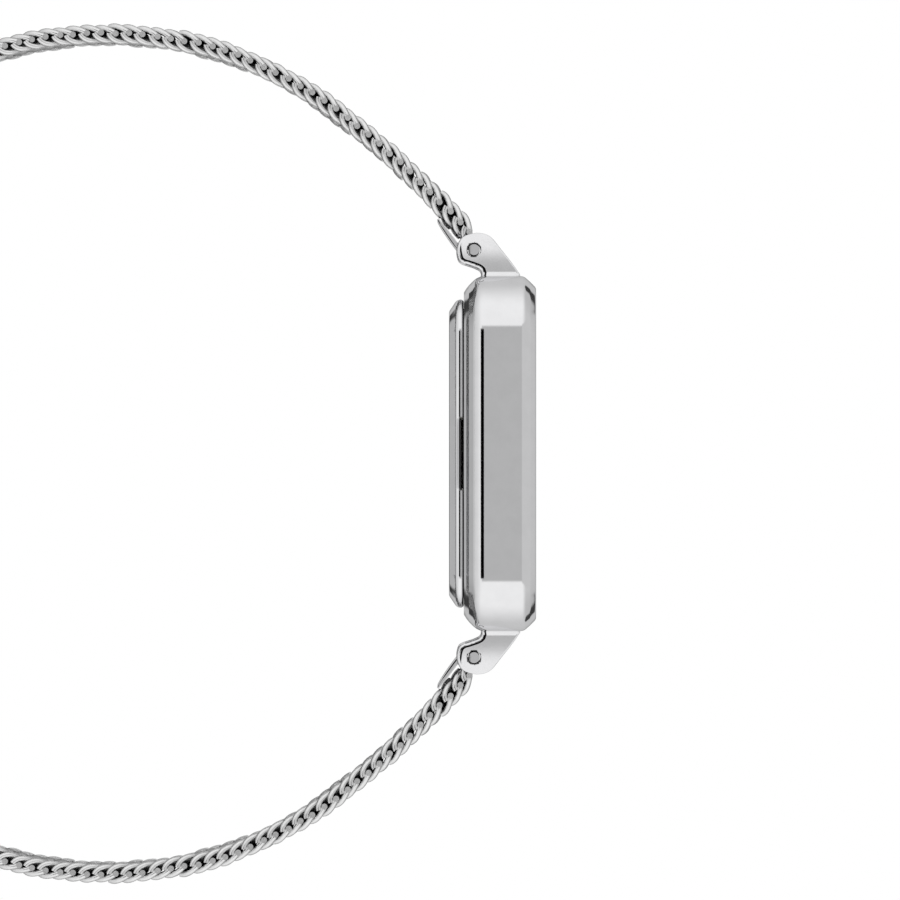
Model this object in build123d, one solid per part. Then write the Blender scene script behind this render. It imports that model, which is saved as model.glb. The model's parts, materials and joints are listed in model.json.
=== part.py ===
from build123d import *
import os
from math import atan2, cos, degrees, pi, radians, sin, sqrt

# A square steel watch on a woven steel mesh band, closed as it is worn.
# Millimetres. The dial faces +Z, 12 o'clock is +Y and the crown is at +X.
# The origin is the middle of the caseback's flat outer face.

# One overrun serves every cut, and one small fit every pressed or glued piece
overrun = 1.0
seat_fit = 0.01
least_corner = 0.3

# Case middle
case_side = 28.0
case_corner = 4.5
case_back = 1.25
case_front = 6.95
back_bevel_rise = 1.12
back_bevel_run = 1.07
front_bevel_rise = 0.98
front_bevel_run = 0.92
case_wall = 2.0
flange_width = 0.7
flange_rise = 1.0

# Lugs
lug_width = 1.8
lug_root = 1.2
lug_front = 5.62
lug_foot_reach = 0.1
lug_shoulder_reach = 0.87
lug_shoulder_rise = 1.47
lug_brow_reach = 1.22
lug_brow_rise = 0.85
lug_tip_radius = 1.37
lug_heel_turn = 215
lug_heel_reach = 0.5
lug_heel_height = 2.38
lug_instep_reach = 0.15
lug_instep_height = 2.55
lug_edge_break = 0.12

# Spring bars
pin_reach = 2.10
pin_height = 1.98
lug_bore_radius = 0.55
bar_tip_radius = 0.48
bar_tip_sink = 0.08
bar_tip_grip = 1.0
bar_tube_radius = 0.75
bar_tube_bore = 0.52
bar_tube_play = 0.25
bar_spring_radius = 0.38
bar_spring_wire = 0.07
bar_spring_turns = 14

# Crystal and its gasket
front_rim = 0.84
crystal_thickness = 0.95
crystal_sink = 0.1
crystal_edge = 0.12
crystal_gasket_width = 0.42
crystal_gasket_height = 0.7

# Dial, rehaut ring and hour markers
dial_thickness = 0.4
dial_play = 0.2
dial_bore = 0.85
dial_foot_radius = 0.35
dial_foot_length = 0.9
dial_foot_inset = 1.1
rehaut_play = 0.05
rehaut_foot_width = 0.6
rehaut_top_width = 0.3
marker_inset = 0.95
marker_length = 1.7
marker_width = 0.42
marker_height = 0.2

# Caseback
caseback_ledge = 0.78
caseback_rim = 1.15
caseback_bevel_rise = 0.63
caseback_bevel_run = 0.95
caseback_rim_round = 0.12
caseback_plate = 0.7
snap_play = 0.05
snap_wall = 0.4
snap_height = 2.2
snap_bead = 0.1
snap_bead_height = 0.2
snap_bead_drop = 0.05
snap_groove_play = 0.08
pry_notch_width = 5.8
pry_notch_depth = 0.42
pry_notch_low = 0.5
gasket_seat_rise = 0.45
gasket_seat_width = 0.2
gasket_play = 0.02

# Movement plate, bridge and holder
motion_space = 0.6
plate_thickness = 0.5
plate_length = 17.6
plate_width = 15.3
plate_corner = 2.2
plate_rim = 0.6
bridge_thickness = 0.3
bridge_margin = 0.9
pillar_radius = 0.5
holder_play = 0.1
holder_floor = 0.85
holder_step_play = 0.15
stem_channel_radius = 0.65

# Pillars of the bridge, as x and y on the movement plate
pillar_places = [(-3.0, 1.3), (3.3, 1.9), (-0.6, -3.9)]

# Battery and its clamp, placed from the edges of the plate
battery_inset = 0.4
battery_rise = 0.65
clamp_pillar_shift = -0.6
clamp_pillar_rise = 4.85
clamp_reach = 6.6
battery_radius = 3.4
battery_height = 2.1
battery_gap = 0.05
battery_cup_step = 0.35
battery_cup_height = 0.3
battery_side_play = 0.15
clamp_thickness = 0.15
clamp_half_width = 0.8

# Electrics, placed from the edges of the plate and of the circuit board
board_thickness = 0.2
board_left = 4.75
board_side_inset = 0.5
board_low_inset = 0.85
board_high = -1.05
chip_size = 1.5
chip_height = 0.4
chip_inset = 0.9
chip_drop = 1.95
quartz_radius = 0.75
quartz_length = 5.0
quartz_inset = 0.95
quartz_rise = 2.7
coil_radius = 0.7
coil_inset = 1.15
coil_end_inset = 2.5
coil_end_drop = 1.1
coil_end_margin = 1.5
coil_fit = 0.03
core_width = 0.9
core_thickness = 0.4
stator_thickness = 0.4
stator_arm = 0.55
stator_lobe = 1.3
stator_pad = 0.8
stator_gap = 0.15

# Screws of the movement
screw_radius = 0.22
screw_length = 1.1
screw_head_radius = 0.5
screw_head_height = 0.25
screw_slot_width = 0.12
screw_slot_depth = 0.1

# Gear train
wheel_thickness = 0.2
level_gap = 0.1
plate_gap = 0.15
motion_wheel_thickness = 0.15
motion_gap = 0.05
arbor_radius = 0.12
pivot_radius = 0.08
pivot_fit = 0.02
pinion_overlap = 0.04
motor_module = 0.08
seconds_module = 0.10
train_module = 0.08
motion_module = 0.10
hour_train_teeth = (10, 40)
rotor_teeth = 8
intermediate_teeth = 40
intermediate_pinion_teeth = 8
seconds_teeth = 48
seconds_pinion_teeth = 8
third_teeth = 60
third_pinion_teeth = 8
centre_teeth = 64
cannon_teeth = 12
minute_teeth = 36
setting_teeth = 20
tooth_share = 0.46
tooth_tip_share = 0.2
dedendum_share = 1.25
spoke_count = 5
spoke_window_share = 0.33
spoke_rim_share = 3
intermediate_direction = 90
rotor_direction = 150
third_direction = -45
minute_direction = 50
magnet_radius = 0.6
magnet_height = 0.5
seconds_arbor_radius = 0.15
centre_bore = 0.2
centre_tube_radius = 0.35
cannon_bore = 0.37
cannon_tube_radius = 0.5
hour_bore = 0.55
hour_tube_radius = 0.75
post_radius = 0.25
post_fit = 0.02

# Hands, shorter than half the marker track by their margins, at 10:09:36
hand_gap = 0.15
hand_thickness = 0.12
seconds_hand_thickness = 0.08
hand_lift = 0.15
hour_hand_margin = 3.8
hour_hand_width = 0.9
minute_hand_margin = 0.9
minute_hand_width = 0.7
seconds_hand_margin = 0.4
seconds_hand_width = 0.2
hand_tail_share = 0.25
hand_tip_share = 0.45
collet_wall = 0.35
hour_hand_angle = 304.8
minute_hand_angle = 57.6
seconds_hand_angle = 216

# Keyless works
stem_drop = 0.35
stem_radius = 0.45
stem_square = 0.5
stem_square_start = 4.95
stem_round_start = 6.45
stem_bearing_fit = 0.02
stem_groove_start = 6.7
stem_groove_width = 0.36
stem_groove_radius = 0.25
clutch_radius = 0.8
clutch_start = 5.1
clutch_length = 1.2
clutch_groove_width = 0.36
clutch_groove_radius = 0.55
clutch_teeth = 16
clutch_tooth_height = 0.15
clutch_slot_margin = 0.15
clutch_bore_fit = 0.03
keyless_lift = 0.03
yoke_thickness = 0.2
yoke_finger = 0.24
yoke_reach = 0.42
yoke_length = 3.0
yoke_pad = 1.5
yoke_pad_length = 1.5
lever_thickness = 0.17
lever_arm = 2.2
lever_half_width = 0.4
lever_pin_radius = 0.12
lever_pin_depth = 0.1
stem_travel = 0.7

# Crown and tube
tube_radius = 0.9
tube_bore_fit = 0.05
tube_stand = 0.9
crown_radius = 1.9
crown_length = 2.6
crown_gap = 0.15
crown_pocket_radius = 1.25
crown_pocket_depth = 1.3
crown_flutes = 30
crown_flute_depth = 0.14
crown_edge = 0.2
crown_gasket_inset = 0.35
crown_gasket_width = 0.3
stem_grip = 0.6

# Mesh band, measured along its middle line from the spring bar
band_width = 14.0
band_side_play = 0.15
band_thickness = 1.7
band_heading = 125.0
band_arc_lengths = [16.0, 13.0, 13.0, 12.0, 12.0, 4.2]
band_arc_turns = [19.7, 23.0, 26.9, 32.0, 32.0]
band_hinges = [17.0, 33.0, 48.0, 63.0]
band_hinge_play = 0.05
coil_pitch = 1.08
coils_in_rib = 2
rib_gap_width = 1.5
rib_depth = 0.55
rib_margin = 0.2

# Folded sleeve at each band end
sleeve_radius = 1.15
sleeve_bore = 0.8
sleeve_side_play = 0.2
leaf_length = 3.8
leaf_thickness = 0.42
leaf_play = 0.05

# Clasp, on the flat run of the band opposite the case
clasp_mouth = 0.1
end_cap_length = 4.0
end_cap_wall = 0.36
end_cap_side = 0.22
end_cap_floor = 1.0
tongue_width = 6.0
tongue_thickness = 0.5
tongue_reach = 3.4
tongue_taper_share = 0.5
clasp_length = 11.0
clasp_wall = 0.4
clasp_side_wall = 0.5
clasp_play = 0.05
mesh_end_in_clasp = 4.2
clasp_lever_thickness = 0.6
clasp_lever_gap = 0.05
clasp_lever_tip = 0.6
clasp_lever_side = 0.3
clasp_knuckle_radius = 0.6
clasp_pin_radius = 0.3
clasp_pin_fit = 0.03
clasp_pin_inset = 0.8
clasp_ear_width = 1.3
clasp_ear_gap = 0.1
clasp_toe_start = 1.4
clasp_toe_length = 0.7
clasp_toe_depth = 0.4
clasp_window_margin = 0.5

# Levels and sides that follow from the sizes above
cavity_side = case_side - 2 * case_wall
dial_opening = cavity_side - 2 * flange_width
lug_gap = band_width + 2 * band_side_play
crystal_top = case_front - crystal_sink
crystal_seat = crystal_top - crystal_thickness
dial_seat = crystal_seat - flange_rise
dial_back = dial_seat - dial_thickness
plate_top = dial_back - motion_space
plate_back = plate_top - plate_thickness
crystal_bore = case_side - 2 * (front_bevel_run + front_rim)
crystal_side = crystal_bore - 2 * (crystal_gasket_width + gasket_play)
caseback_side = case_side - 2 * (back_bevel_run + caseback_ledge)
marker_track = dial_opening - 2 * (rehaut_play + rehaut_foot_width + marker_inset)
snap_side = cavity_side - 2 * snap_play
pin_y = case_side / 2 + pin_reach
stem_height = plate_top - stem_drop
clutch_end = clutch_start + clutch_length
stem_groove_middle = stem_groove_start + stem_groove_width / 2
lever_pivot = (stem_groove_middle + stem_travel / 2, -lever_arm)

# Places on the movement plate, as x and y
plate_x = plate_length / 2
plate_y = plate_width / 2
battery_place = (battery_radius + battery_inset - plate_x, battery_radius + battery_rise - plate_y)
clamp_pillar_place = (battery_place[0] + clamp_pillar_shift, battery_place[1] + clamp_pillar_rise)
coil_line = plate_y - coil_inset
coil_end = plate_x - coil_end_inset
coil_end_places = [(side * coil_end, coil_line - coil_end_drop) for side in (-1, 1)]
coil_length = 2 * (coil_end - coil_end_margin)
board_right = plate_x - board_side_inset
board_low = board_low_inset - plate_y
chip_place = (board_left + chip_inset, board_high - chip_drop)
quartz_place = (board_right - quartz_inset, board_low + quartz_rise)


def wheel_top(level):
    """The height of the dial side of a train wheel, counted down from the plate."""
    return plate_back - plate_gap - level * (wheel_thickness + level_gap)


CENTRE_LEVEL, THIRD_LEVEL, SECONDS_LEVEL, INTERMEDIATE_LEVEL = range(4)
bridge_top = wheel_top(INTERMEDIATE_LEVEL) - wheel_thickness - level_gap
bridge_back = bridge_top - bridge_thickness
motion_level = plate_top + motion_gap
hour_level = motion_level + motion_wheel_thickness + motion_gap


def polar(distance, direction, start=(0, 0)):
    """The point at a distance and direction in degrees from a start."""
    return (
        start[0] + distance * cos(radians(direction)),
        start[1] + distance * sin(radians(direction)),
    )


def centre_distance(module, teeth, pinion_teeth):
    return module * (teeth + pinion_teeth) / 2


# Wheel places on the plate, each found from the wheel that it meshes with
seconds_distance = centre_distance(seconds_module, seconds_teeth, intermediate_pinion_teeth)
rotor_distance = centre_distance(motor_module, intermediate_teeth, rotor_teeth)
third_distance = centre_distance(train_module, third_teeth, seconds_pinion_teeth)
minute_distance = centre_distance(motion_module, minute_teeth, cannon_teeth)
setting_distance = centre_distance(motion_module, minute_teeth, setting_teeth)
centre_module = 2 * third_distance / (centre_teeth + third_pinion_teeth)
hour_module = 2 * minute_distance / sum(hour_train_teeth)
intermediate_place = polar(seconds_distance, intermediate_direction)
rotor_place = polar(rotor_distance, rotor_direction, intermediate_place)
third_place = polar(third_distance, third_direction)
minute_place = polar(minute_distance, minute_direction)
setting_place = (minute_place[0] + sqrt(setting_distance**2 - minute_place[1] ** 2), 0)

# Plane of the side view, whose x is the height and whose y runs to 12 o'clock
side_plane = Plane((0, 0, 0), x_dir=(0, 0, 1), z_dir=(-1, 0, 0))


# Shared shapes

def corner_of(side):
    """The corner radius of a square that lies evenly inside the case outline."""
    return max(case_corner - (case_side - side) / 2, least_corner)


def square_block(side, low, high):
    return Pos(0, 0, low) * extrude(RectangleRounded(side, side, corner_of(side)), high - low)


def square_frustum(side_low, side_high, low, high):
    """A block whose square outline changes evenly from one level to the next."""
    first = Pos(0, 0, low) * RectangleRounded(side_low, side_low, corner_of(side_low))
    second = Pos(0, 0, high) * RectangleRounded(side_high, side_high, corner_of(side_high))
    return loft([first.face(), second.face()], ruled=True)


def square_ring(outer, inner, low, high):
    hole = square_block(inner, low - overrun, high + overrun)
    return square_block(outer, low, high) - hole


def rod(radius, low, high, place=(0, 0)):
    """An upright cylinder between two heights."""
    return Pos(place[0], place[1], low) * extrude(Circle(radius), high - low)


def cross_rod(radius, start, end, y, z):
    """A cylinder along X between two places."""
    section = Plane((start, y, z), x_dir=(0, 1, 0), z_dir=(1, 0, 0)) * Circle(radius)
    return extrude(section, end - start)


def side_prism(sketch, low, high):
    """A side view outline made solid between two places along X."""
    solid = extrude(side_plane * sketch, high - low, dir=(1, 0, 0))
    return Pos(low, 0, 0) * solid


def stadium(first, second, radius):
    """The outline round two discs of one radius."""
    discs = Pos(*first) * Circle(radius) + Pos(*second) * Circle(radius)
    return make_hull(discs.edges())


def upright(sketch, low, high):
    return Pos(0, 0, low) * extrude(sketch, high - low)


def mirrored(solid):
    """The same piece on the 6 o'clock side."""
    return mirror(solid, about=Plane.XZ)


# Gears

def gear_outline(teeth, module, tooth_direction):
    """A toothed disc with one tooth centred on the given direction in degrees."""
    pitch_radius = module * teeth / 2
    tip = pitch_radius + module
    root = pitch_radius - dedendum_share * module
    pitch = 2 * pi / teeth
    turn = radians(tooth_direction)
    points = []
    for tooth in range(teeth):
        middle = turn + tooth * pitch
        flanks = [(root, -0.5 * tooth_share), (tip, -0.5 * tooth_tip_share)]
        flanks += [(radius, -share) for radius, share in reversed(flanks)]
        for radius, share in flanks:
            angle = middle + share * pitch
            points.append((radius * cos(angle), radius * sin(angle)))
    return make_face(Polyline(*points, close=True))


def gear(teeth, module, low, high, place, tooth_direction=0):
    outline = Pos(*place) * gear_outline(teeth, module, tooth_direction)
    return upright(outline, low, high)


def mating_direction(tooth_direction, teeth, direction, mate_teeth):
    """Where the mate has a tooth, so that its gap meets the first wheel's tooth."""
    offset = (tooth_direction - direction) % (360 / teeth)
    return direction + 180 - offset * teeth / mate_teeth + 180 / mate_teeth


def spoked(wheel, teeth, module, place, hub):
    """Cuts the round windows between a wheel's spokes."""
    rim = module * teeth / 2 - spoke_rim_share * module
    middle = (rim + hub) / 2
    window = (rim - hub) * spoke_window_share
    for count in range(spoke_count):
        centre = polar(middle, count * 360 / spoke_count, place)
        wheel -= rod(window, -case_side, case_side, centre)
    return wheel


# Case

def case_middle():
    front_side = case_side - 2 * front_bevel_run
    back_side = case_side - 2 * back_bevel_run
    back_edge = case_back + back_bevel_rise
    front_edge = case_front - front_bevel_rise
    body = square_frustum(back_side, case_side, case_back, back_edge)
    body += square_block(case_side, back_edge, front_edge)
    body += square_frustum(case_side, front_side, front_edge, case_front)
    for side in (-1, 1):
        middle = side * (lug_gap + lug_width) / 2
        body += lug(middle)
        body += mirrored(lug(middle))
    body -= square_block(cavity_side, case_back - overrun, dial_seat)
    body -= square_block(dial_opening, case_back, case_front + overrun)
    body -= square_block(crystal_bore, crystal_seat, case_front + overrun)
    body -= square_block(gasket_seat_side(), case_back - overrun, case_back + gasket_seat_rise)
    groove = snap_side + 2 * (snap_bead + snap_groove_play)
    body -= square_block(groove, snap_bead_low() - snap_groove_play, snap_height + snap_groove_play)
    body -= cross_rod(tube_radius + seat_fit, 0, case_side, 0, stem_height)
    for y in (-pin_y, pin_y):
        body -= cross_rod(lug_bore_radius, -case_side, case_side, y, pin_height)
    return body


def lug_outline():
    """The side view of a lug: its front slope, round tip, heel and instep."""
    side = case_side / 2
    pin = (pin_height, pin_y)
    root = side - lug_root
    foot = (lug_front, side + lug_foot_reach)
    shoulder = (pin_height + lug_shoulder_rise, pin_y + lug_shoulder_reach)
    brow = (pin_height + lug_brow_rise, pin_y + lug_brow_reach)
    tip = (pin_height, pin_y + lug_tip_radius)
    belly = polar(lug_tip_radius, (90 + lug_heel_turn) / 2, pin)
    heel = polar(lug_tip_radius, lug_heel_turn, pin)
    arch = (lug_heel_height, side + lug_heel_reach)
    instep = (lug_instep_height, side + lug_instep_reach)
    edges = [Line((lug_front, root), foot), Line(foot, shoulder)]
    edges += [ThreePointArc(shoulder, brow, tip), ThreePointArc(tip, belly, heel)]
    edges += [Line(heel, arch), Line(arch, instep)]
    edges += [Line(instep, (lug_instep_height, root)), Line((lug_instep_height, root), (lug_front, root))]
    return make_face(edges)


def lug(middle):
    half = lug_width / 2
    solid = side_prism(lug_outline(), middle - half, middle + half)
    faces = solid.faces().sort_by(Axis.X)
    edges = faces[0].edges() + faces[-1].edges()
    return chamfer(edges, lug_edge_break)


def gasket_seat_side():
    return cavity_side + 2 * gasket_seat_width


def snap_bead_low():
    return snap_height - snap_bead_drop - snap_bead_height


def caseback():
    flat_side = caseback_side - 2 * caseback_bevel_run
    body = square_frustum(flat_side, caseback_side, 0, caseback_bevel_rise)
    disc = square_block(caseback_side, caseback_bevel_rise, caseback_rim)
    body += fillet(disc.edges().group_by(Axis.Z)[-1], caseback_rim_round)
    body += square_block(snap_side, caseback_rim - caseback_rim_round, snap_height)
    bead = snap_bead_low()
    body += square_block(snap_side + 2 * snap_bead, bead, bead + snap_bead_height)
    body -= square_block(snap_side - 2 * snap_wall, caseback_plate, snap_height + overrun)
    edge = caseback_side / 2
    notch = Polyline(
        (pry_notch_low, edge + overrun),
        (pry_notch_low, edge),
        (caseback_rim, edge - pry_notch_depth),
        (caseback_rim, edge + overrun),
        close=True,
    )
    view = Plane((0, 0, 0), x_dir=(0, 0, 1), z_dir=(0, -1, 0))
    return body - extrude(view * make_face(notch), pry_notch_width / 2, both=True)


def caseback_gasket():
    outer = gasket_seat_side() - 2 * gasket_play
    inner = snap_side + 2 * gasket_play
    return square_ring(outer, inner, caseback_rim + gasket_play, case_back + gasket_seat_rise - gasket_play)


def crystal():
    glass = square_block(crystal_side, crystal_seat, crystal_top)
    return chamfer(glass.edges().group_by(Axis.Z)[-1], crystal_edge)


def crystal_gasket():
    inner = crystal_side + 2 * gasket_play
    outer = crystal_bore - 2 * gasket_play
    return square_ring(outer, inner, crystal_seat, crystal_seat + crystal_gasket_height)


def rehaut_ring():
    outer = dial_opening - 2 * rehaut_play
    top = crystal_seat - rehaut_play
    body = square_block(outer, dial_seat, top)
    hole = square_frustum(outer - 2 * rehaut_foot_width, outer - 2 * rehaut_top_width, dial_seat, top)
    return body - hole


# Dial and hands

def dial():
    side = cavity_side - 2 * dial_play
    body = square_block(side, dial_back, dial_seat)
    for place in dial_foot_places():
        body += rod(dial_foot_radius, dial_back - dial_foot_length, dial_back, place)
    return body - rod(dial_bore, dial_back - overrun, dial_seat + overrun)


def dial_foot_places():
    x = plate_x - dial_foot_inset
    y = plate_y - dial_foot_inset
    return [(x, y), (-x, -y)]


def hour_markers():
    """Twelve plain batons, whose outer ends lie on a square track."""
    batons = []
    for hour in range(12):
        angle = hour * 360 / 12
        reach = marker_track / 2 / max(abs(sin(radians(angle))), abs(cos(radians(angle))))
        baton = Box(marker_width, marker_length, marker_height)
        baton = chamfer(baton.edges().group_by(Axis.Z)[-1], marker_height / 2)
        baton = Pos(0, reach - marker_length / 2, dial_seat + marker_height / 2) * baton
        batons.append(Rot(0, 0, -angle) * baton)
    return batons


def hand(length, width, low, thickness, bore, angle):
    """A plain baton hand with a round hub, turned clockwise from 12 o'clock."""
    tail = length * hand_tail_share
    tip = width * hand_tip_share
    blade = make_face(
        Polyline((-tip / 2, -tail), (tip / 2, -tail), (width / 2, 0), (tip / 2, length),
                 (-tip / 2, length), (-width / 2, 0), close=True)
    )
    outline = blade + Circle(bore + collet_wall) - Circle(bore)
    return Rot(0, 0, -angle) * upright(outline, low, low + thickness)


hour_hand_low = dial_seat + hand_gap
minute_hand_low = hour_hand_low + hand_thickness + hand_lift
seconds_hand_low = minute_hand_low + hand_thickness + hand_lift


def hour_hand():
    length = marker_track / 2 - hour_hand_margin
    bore = hour_tube_radius + seat_fit
    low = hour_hand_low
    return hand(length, hour_hand_width, low, hand_thickness, bore, hour_hand_angle)


def minute_hand():
    length = marker_track / 2 - minute_hand_margin
    bore = cannon_tube_radius + seat_fit
    low = minute_hand_low
    return hand(length, minute_hand_width, low, hand_thickness, bore, minute_hand_angle)


def seconds_hand():
    length = marker_track / 2 - seconds_hand_margin
    bore = seconds_arbor_radius + seat_fit
    low = seconds_hand_low
    thickness = seconds_hand_thickness
    return hand(length, seconds_hand_width, low, thickness, bore, seconds_hand_angle)


# Movement plate, bridge and holder

def plate_outline(grown=0):
    return RectangleRounded(plate_length + 2 * grown, plate_width + 2 * grown, plate_corner + grown)


def main_plate():
    body = upright(plate_outline(), plate_back, plate_top)
    body += upright(plate_outline() - plate_outline(-plate_rim), plate_top, dial_back)
    for place in pillar_places:
        body += rod(pillar_radius, bridge_top, plate_back, place)
    body += rod(pillar_radius, clamp_top(), plate_back, clamp_pillar_place)
    for place in coil_end_places:
        body += rod(stator_pad, stator_top(), plate_back, place)
    body += rod(post_radius, plate_top, hour_level + motion_wheel_thickness + motion_gap, minute_place)
    body += rod(post_radius, plate_top, hour_level, setting_place)
    lever_top = keyless_level() + lever_thickness + motion_gap
    body += rod(post_radius, plate_top, lever_top, lever_pivot)
    body -= rod(centre_tube_radius + pivot_fit, plate_back - overrun, plate_top + overrun)
    for place in (intermediate_place, rotor_place, third_place):
        body -= rod(pivot_radius + pivot_fit, plate_back - overrun, plate_top + overrun, place)
    for place in dial_foot_places():
        body -= rod(dial_foot_radius + seat_fit, plate_back - overrun, dial_back + overrun, place)
    for place, seat in screw_places():
        body -= rod(screw_radius + seat_fit, seat, seat + screw_length + seat_fit, place)
    slot_start = clutch_start - stem_travel / 2
    slot_end = plate_x - plate_rim - stem_bearing_fit
    slot = Rectangle(slot_end - slot_start, 2 * (clutch_radius + clutch_slot_margin))
    slot = Pos((slot_start + slot_end) / 2, 0) * slot
    body -= upright(slot, plate_back - overrun, dial_back + overrun)
    return body - cross_rod(stem_radius + stem_bearing_fit, slot_start, plate_length, 0, stem_height)


def train_bridge():
    discs = [Pos(*place) * Circle(bridge_margin) for place in pillar_places]
    discs += [Pos(*rotor_place) * Circle(bridge_margin), Pos(*third_place) * Circle(bridge_margin)]
    outline = make_hull(Sketch(discs).edges())
    outline -= Pos(*battery_place) * Circle(battery_radius + battery_side_play)
    body = upright(outline, bridge_back, bridge_top)
    for place in pillar_places:
        body -= rod(screw_radius + seat_fit, bridge_back - overrun, bridge_top + overrun, place)
    for place in ((0, 0), intermediate_place, rotor_place, third_place):
        body -= rod(pivot_radius + pivot_fit, bridge_back - overrun, bridge_top + overrun, place)
    return body


def movement_holder():
    lower = snap_side - 2 * snap_wall - 2 * holder_step_play
    upper = cavity_side - 2 * dial_play
    step = snap_height + holder_step_play
    body = square_block(lower, holder_floor, step)
    body += square_block(upper, step, dial_back)
    body -= upright(plate_outline(holder_play), holder_floor - overrun, dial_back + overrun)
    return body - cross_rod(stem_channel_radius, 0, case_side, 0, stem_height)


def screw_places():
    """Each screw's place and the height of the seat under its head."""
    places = [(place, bridge_back) for place in pillar_places]
    places += [(place, core_back()) for place in coil_end_places]
    return places + [(clamp_pillar_place, clamp_top() - clamp_thickness)]


def movement_screws():
    screws = []
    for place, seat in screw_places():
        screw = rod(screw_radius, seat, seat + screw_length, place)
        screw += rod(screw_head_radius, seat - screw_head_height, seat, place)
        slot = Box(2 * screw_head_radius + overrun, screw_slot_width, 2 * screw_slot_depth)
        screws.append(screw - Pos(place[0], place[1], seat - screw_head_height) * slot)
    return screws


# Battery and electrics

def battery_top():
    return plate_back - battery_gap


def clamp_top():
    return battery_top() - battery_height - battery_gap


def battery():
    low = battery_top() - battery_height
    cup = rod(battery_radius, low, battery_top() - battery_cup_height, battery_place)
    cap_radius = battery_radius - battery_cup_step
    return cup + rod(cap_radius, battery_top() - battery_cup_height, battery_top(), battery_place)


def battery_clamp():
    reach = (clamp_pillar_place[0], clamp_pillar_place[1] - clamp_reach)
    outline = stadium(clamp_pillar_place, reach, clamp_half_width)
    strip = upright(outline, clamp_top() - clamp_thickness, clamp_top())
    hole = rod(screw_radius + seat_fit, 0, clamp_top() + overrun, clamp_pillar_place)
    return strip - hole


def circuit_board():
    outline = Rectangle(board_right - board_left, board_high - board_low)
    outline = Pos((board_left + board_right) / 2, (board_low + board_high) / 2) * outline
    return upright(outline, plate_back - board_thickness, plate_back)


def driver_chip():
    top = plate_back - board_thickness
    return upright(Pos(*chip_place) * Rectangle(chip_size, chip_size), top - chip_height, top)


def quartz_can():
    height = plate_back - board_thickness - quartz_radius
    x, y = quartz_place
    end = Plane((x, y - quartz_length / 2, height), x_dir=(1, 0, 0), z_dir=(0, 1, 0))
    can = extrude(end * Circle(quartz_radius), quartz_length)
    return fillet(can.edges(), quartz_radius / 3)


def core_back():
    return stator_top() - stator_thickness - core_thickness


def stator_top():
    """The height of the stator's dial side, which lies on the coil bosses."""
    return wheel_top(THIRD_LEVEL) + wheel_thickness


def coil_core():
    low = core_back()
    left, right = coil_end_places
    outline = Pos(0, coil_line) * Rectangle(right[0] - left[0], core_width)
    for place in coil_end_places:
        outline += stadium(place, (place[0], coil_line), core_width / 2)
    body = upright(outline, low, low + core_thickness)
    for place in coil_end_places:
        body -= rod(screw_radius + seat_fit, low - overrun, low + core_thickness + overrun, place)
    return body


def coil():
    middle = core_back() + core_thickness / 2
    body = cross_rod(coil_radius, -coil_length / 2, coil_length / 2, coil_line, middle)
    bore = Box(2 * coil_length, core_width + 2 * coil_fit, core_thickness + 2 * coil_fit)
    return body - Pos(0, coil_line, middle) * bore


def stator():
    outline = Pos(*rotor_place) * Circle(stator_lobe)
    for place in coil_end_places:
        outline += stadium(rotor_place, place, stator_arm)
        outline += Pos(*place) * Circle(stator_pad)
        outline -= Pos(*place) * Circle(screw_radius + seat_fit)
    outline -= Pos(*rotor_place) * Circle(magnet_radius + stator_gap)
    return upright(outline, stator_top() - stator_thickness, stator_top())


# Gear train

def arbor(place, body_low, body_high):
    """A staff with a finer pivot in the bridge and in the plate."""
    staff = rod(arbor_radius, body_low, body_high, place)
    return staff + rod(pivot_radius, bridge_back, plate_top - plate_gap, place)


def train_wheel(teeth, module, level, place, tooth_direction):
    high = wheel_top(level)
    wheel = gear(teeth, module, high - wheel_thickness, high, place, tooth_direction)
    return spoked(wheel, teeth, module, place, arbor_radius + spoke_rim_share * module)


def train_pinion(teeth, module, level, place, tooth_direction):
    high = wheel_top(level) + pinion_overlap
    low = high - wheel_thickness - 2 * pinion_overlap
    return gear(teeth, module, low, high, place, tooth_direction)


def rotor():
    back = rotor_direction + 180
    turn = mating_direction(back, intermediate_teeth, back + 180, rotor_teeth)
    body = train_pinion(rotor_teeth, motor_module, INTERMEDIATE_LEVEL, rotor_place, turn)
    middle = stator_top() - stator_thickness / 2
    body += rod(magnet_radius, middle - magnet_height / 2, middle + magnet_height / 2, rotor_place)
    return body + arbor(rotor_place, bridge_top + level_gap / 2, plate_back - level_gap / 2)


def intermediate_wheel():
    place = intermediate_place
    turn = rotor_direction
    body = train_wheel(intermediate_teeth, motor_module, INTERMEDIATE_LEVEL, place, turn)
    toward = intermediate_direction + 180
    body += train_pinion(intermediate_pinion_teeth, seconds_module, SECONDS_LEVEL, place, toward)
    return body + arbor(place, bridge_top + level_gap / 2, plate_back - level_gap / 2)


def seconds_wheel():
    pinion_tooth = intermediate_direction + 180
    turn = mating_direction(pinion_tooth, intermediate_pinion_teeth, pinion_tooth, seconds_teeth)
    body = train_wheel(seconds_teeth, seconds_module, SECONDS_LEVEL, (0, 0), turn)
    body += train_pinion(seconds_pinion_teeth, train_module, THIRD_LEVEL, (0, 0), third_direction)
    body += rod(seconds_arbor_radius, bridge_top + level_gap / 2, seconds_hand_low + seconds_hand_thickness)
    return body + rod(pivot_radius, bridge_back, bridge_top + level_gap)


def third_wheel():
    turn = mating_direction(third_direction, seconds_pinion_teeth, third_direction, third_teeth)
    body = train_wheel(third_teeth, train_module, THIRD_LEVEL, third_place, turn)
    toward = third_direction + 180
    body += train_pinion(third_pinion_teeth, centre_module, CENTRE_LEVEL, third_place, toward)
    return body + arbor(third_place, bridge_top + level_gap / 2, plate_back - level_gap / 2)


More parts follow.
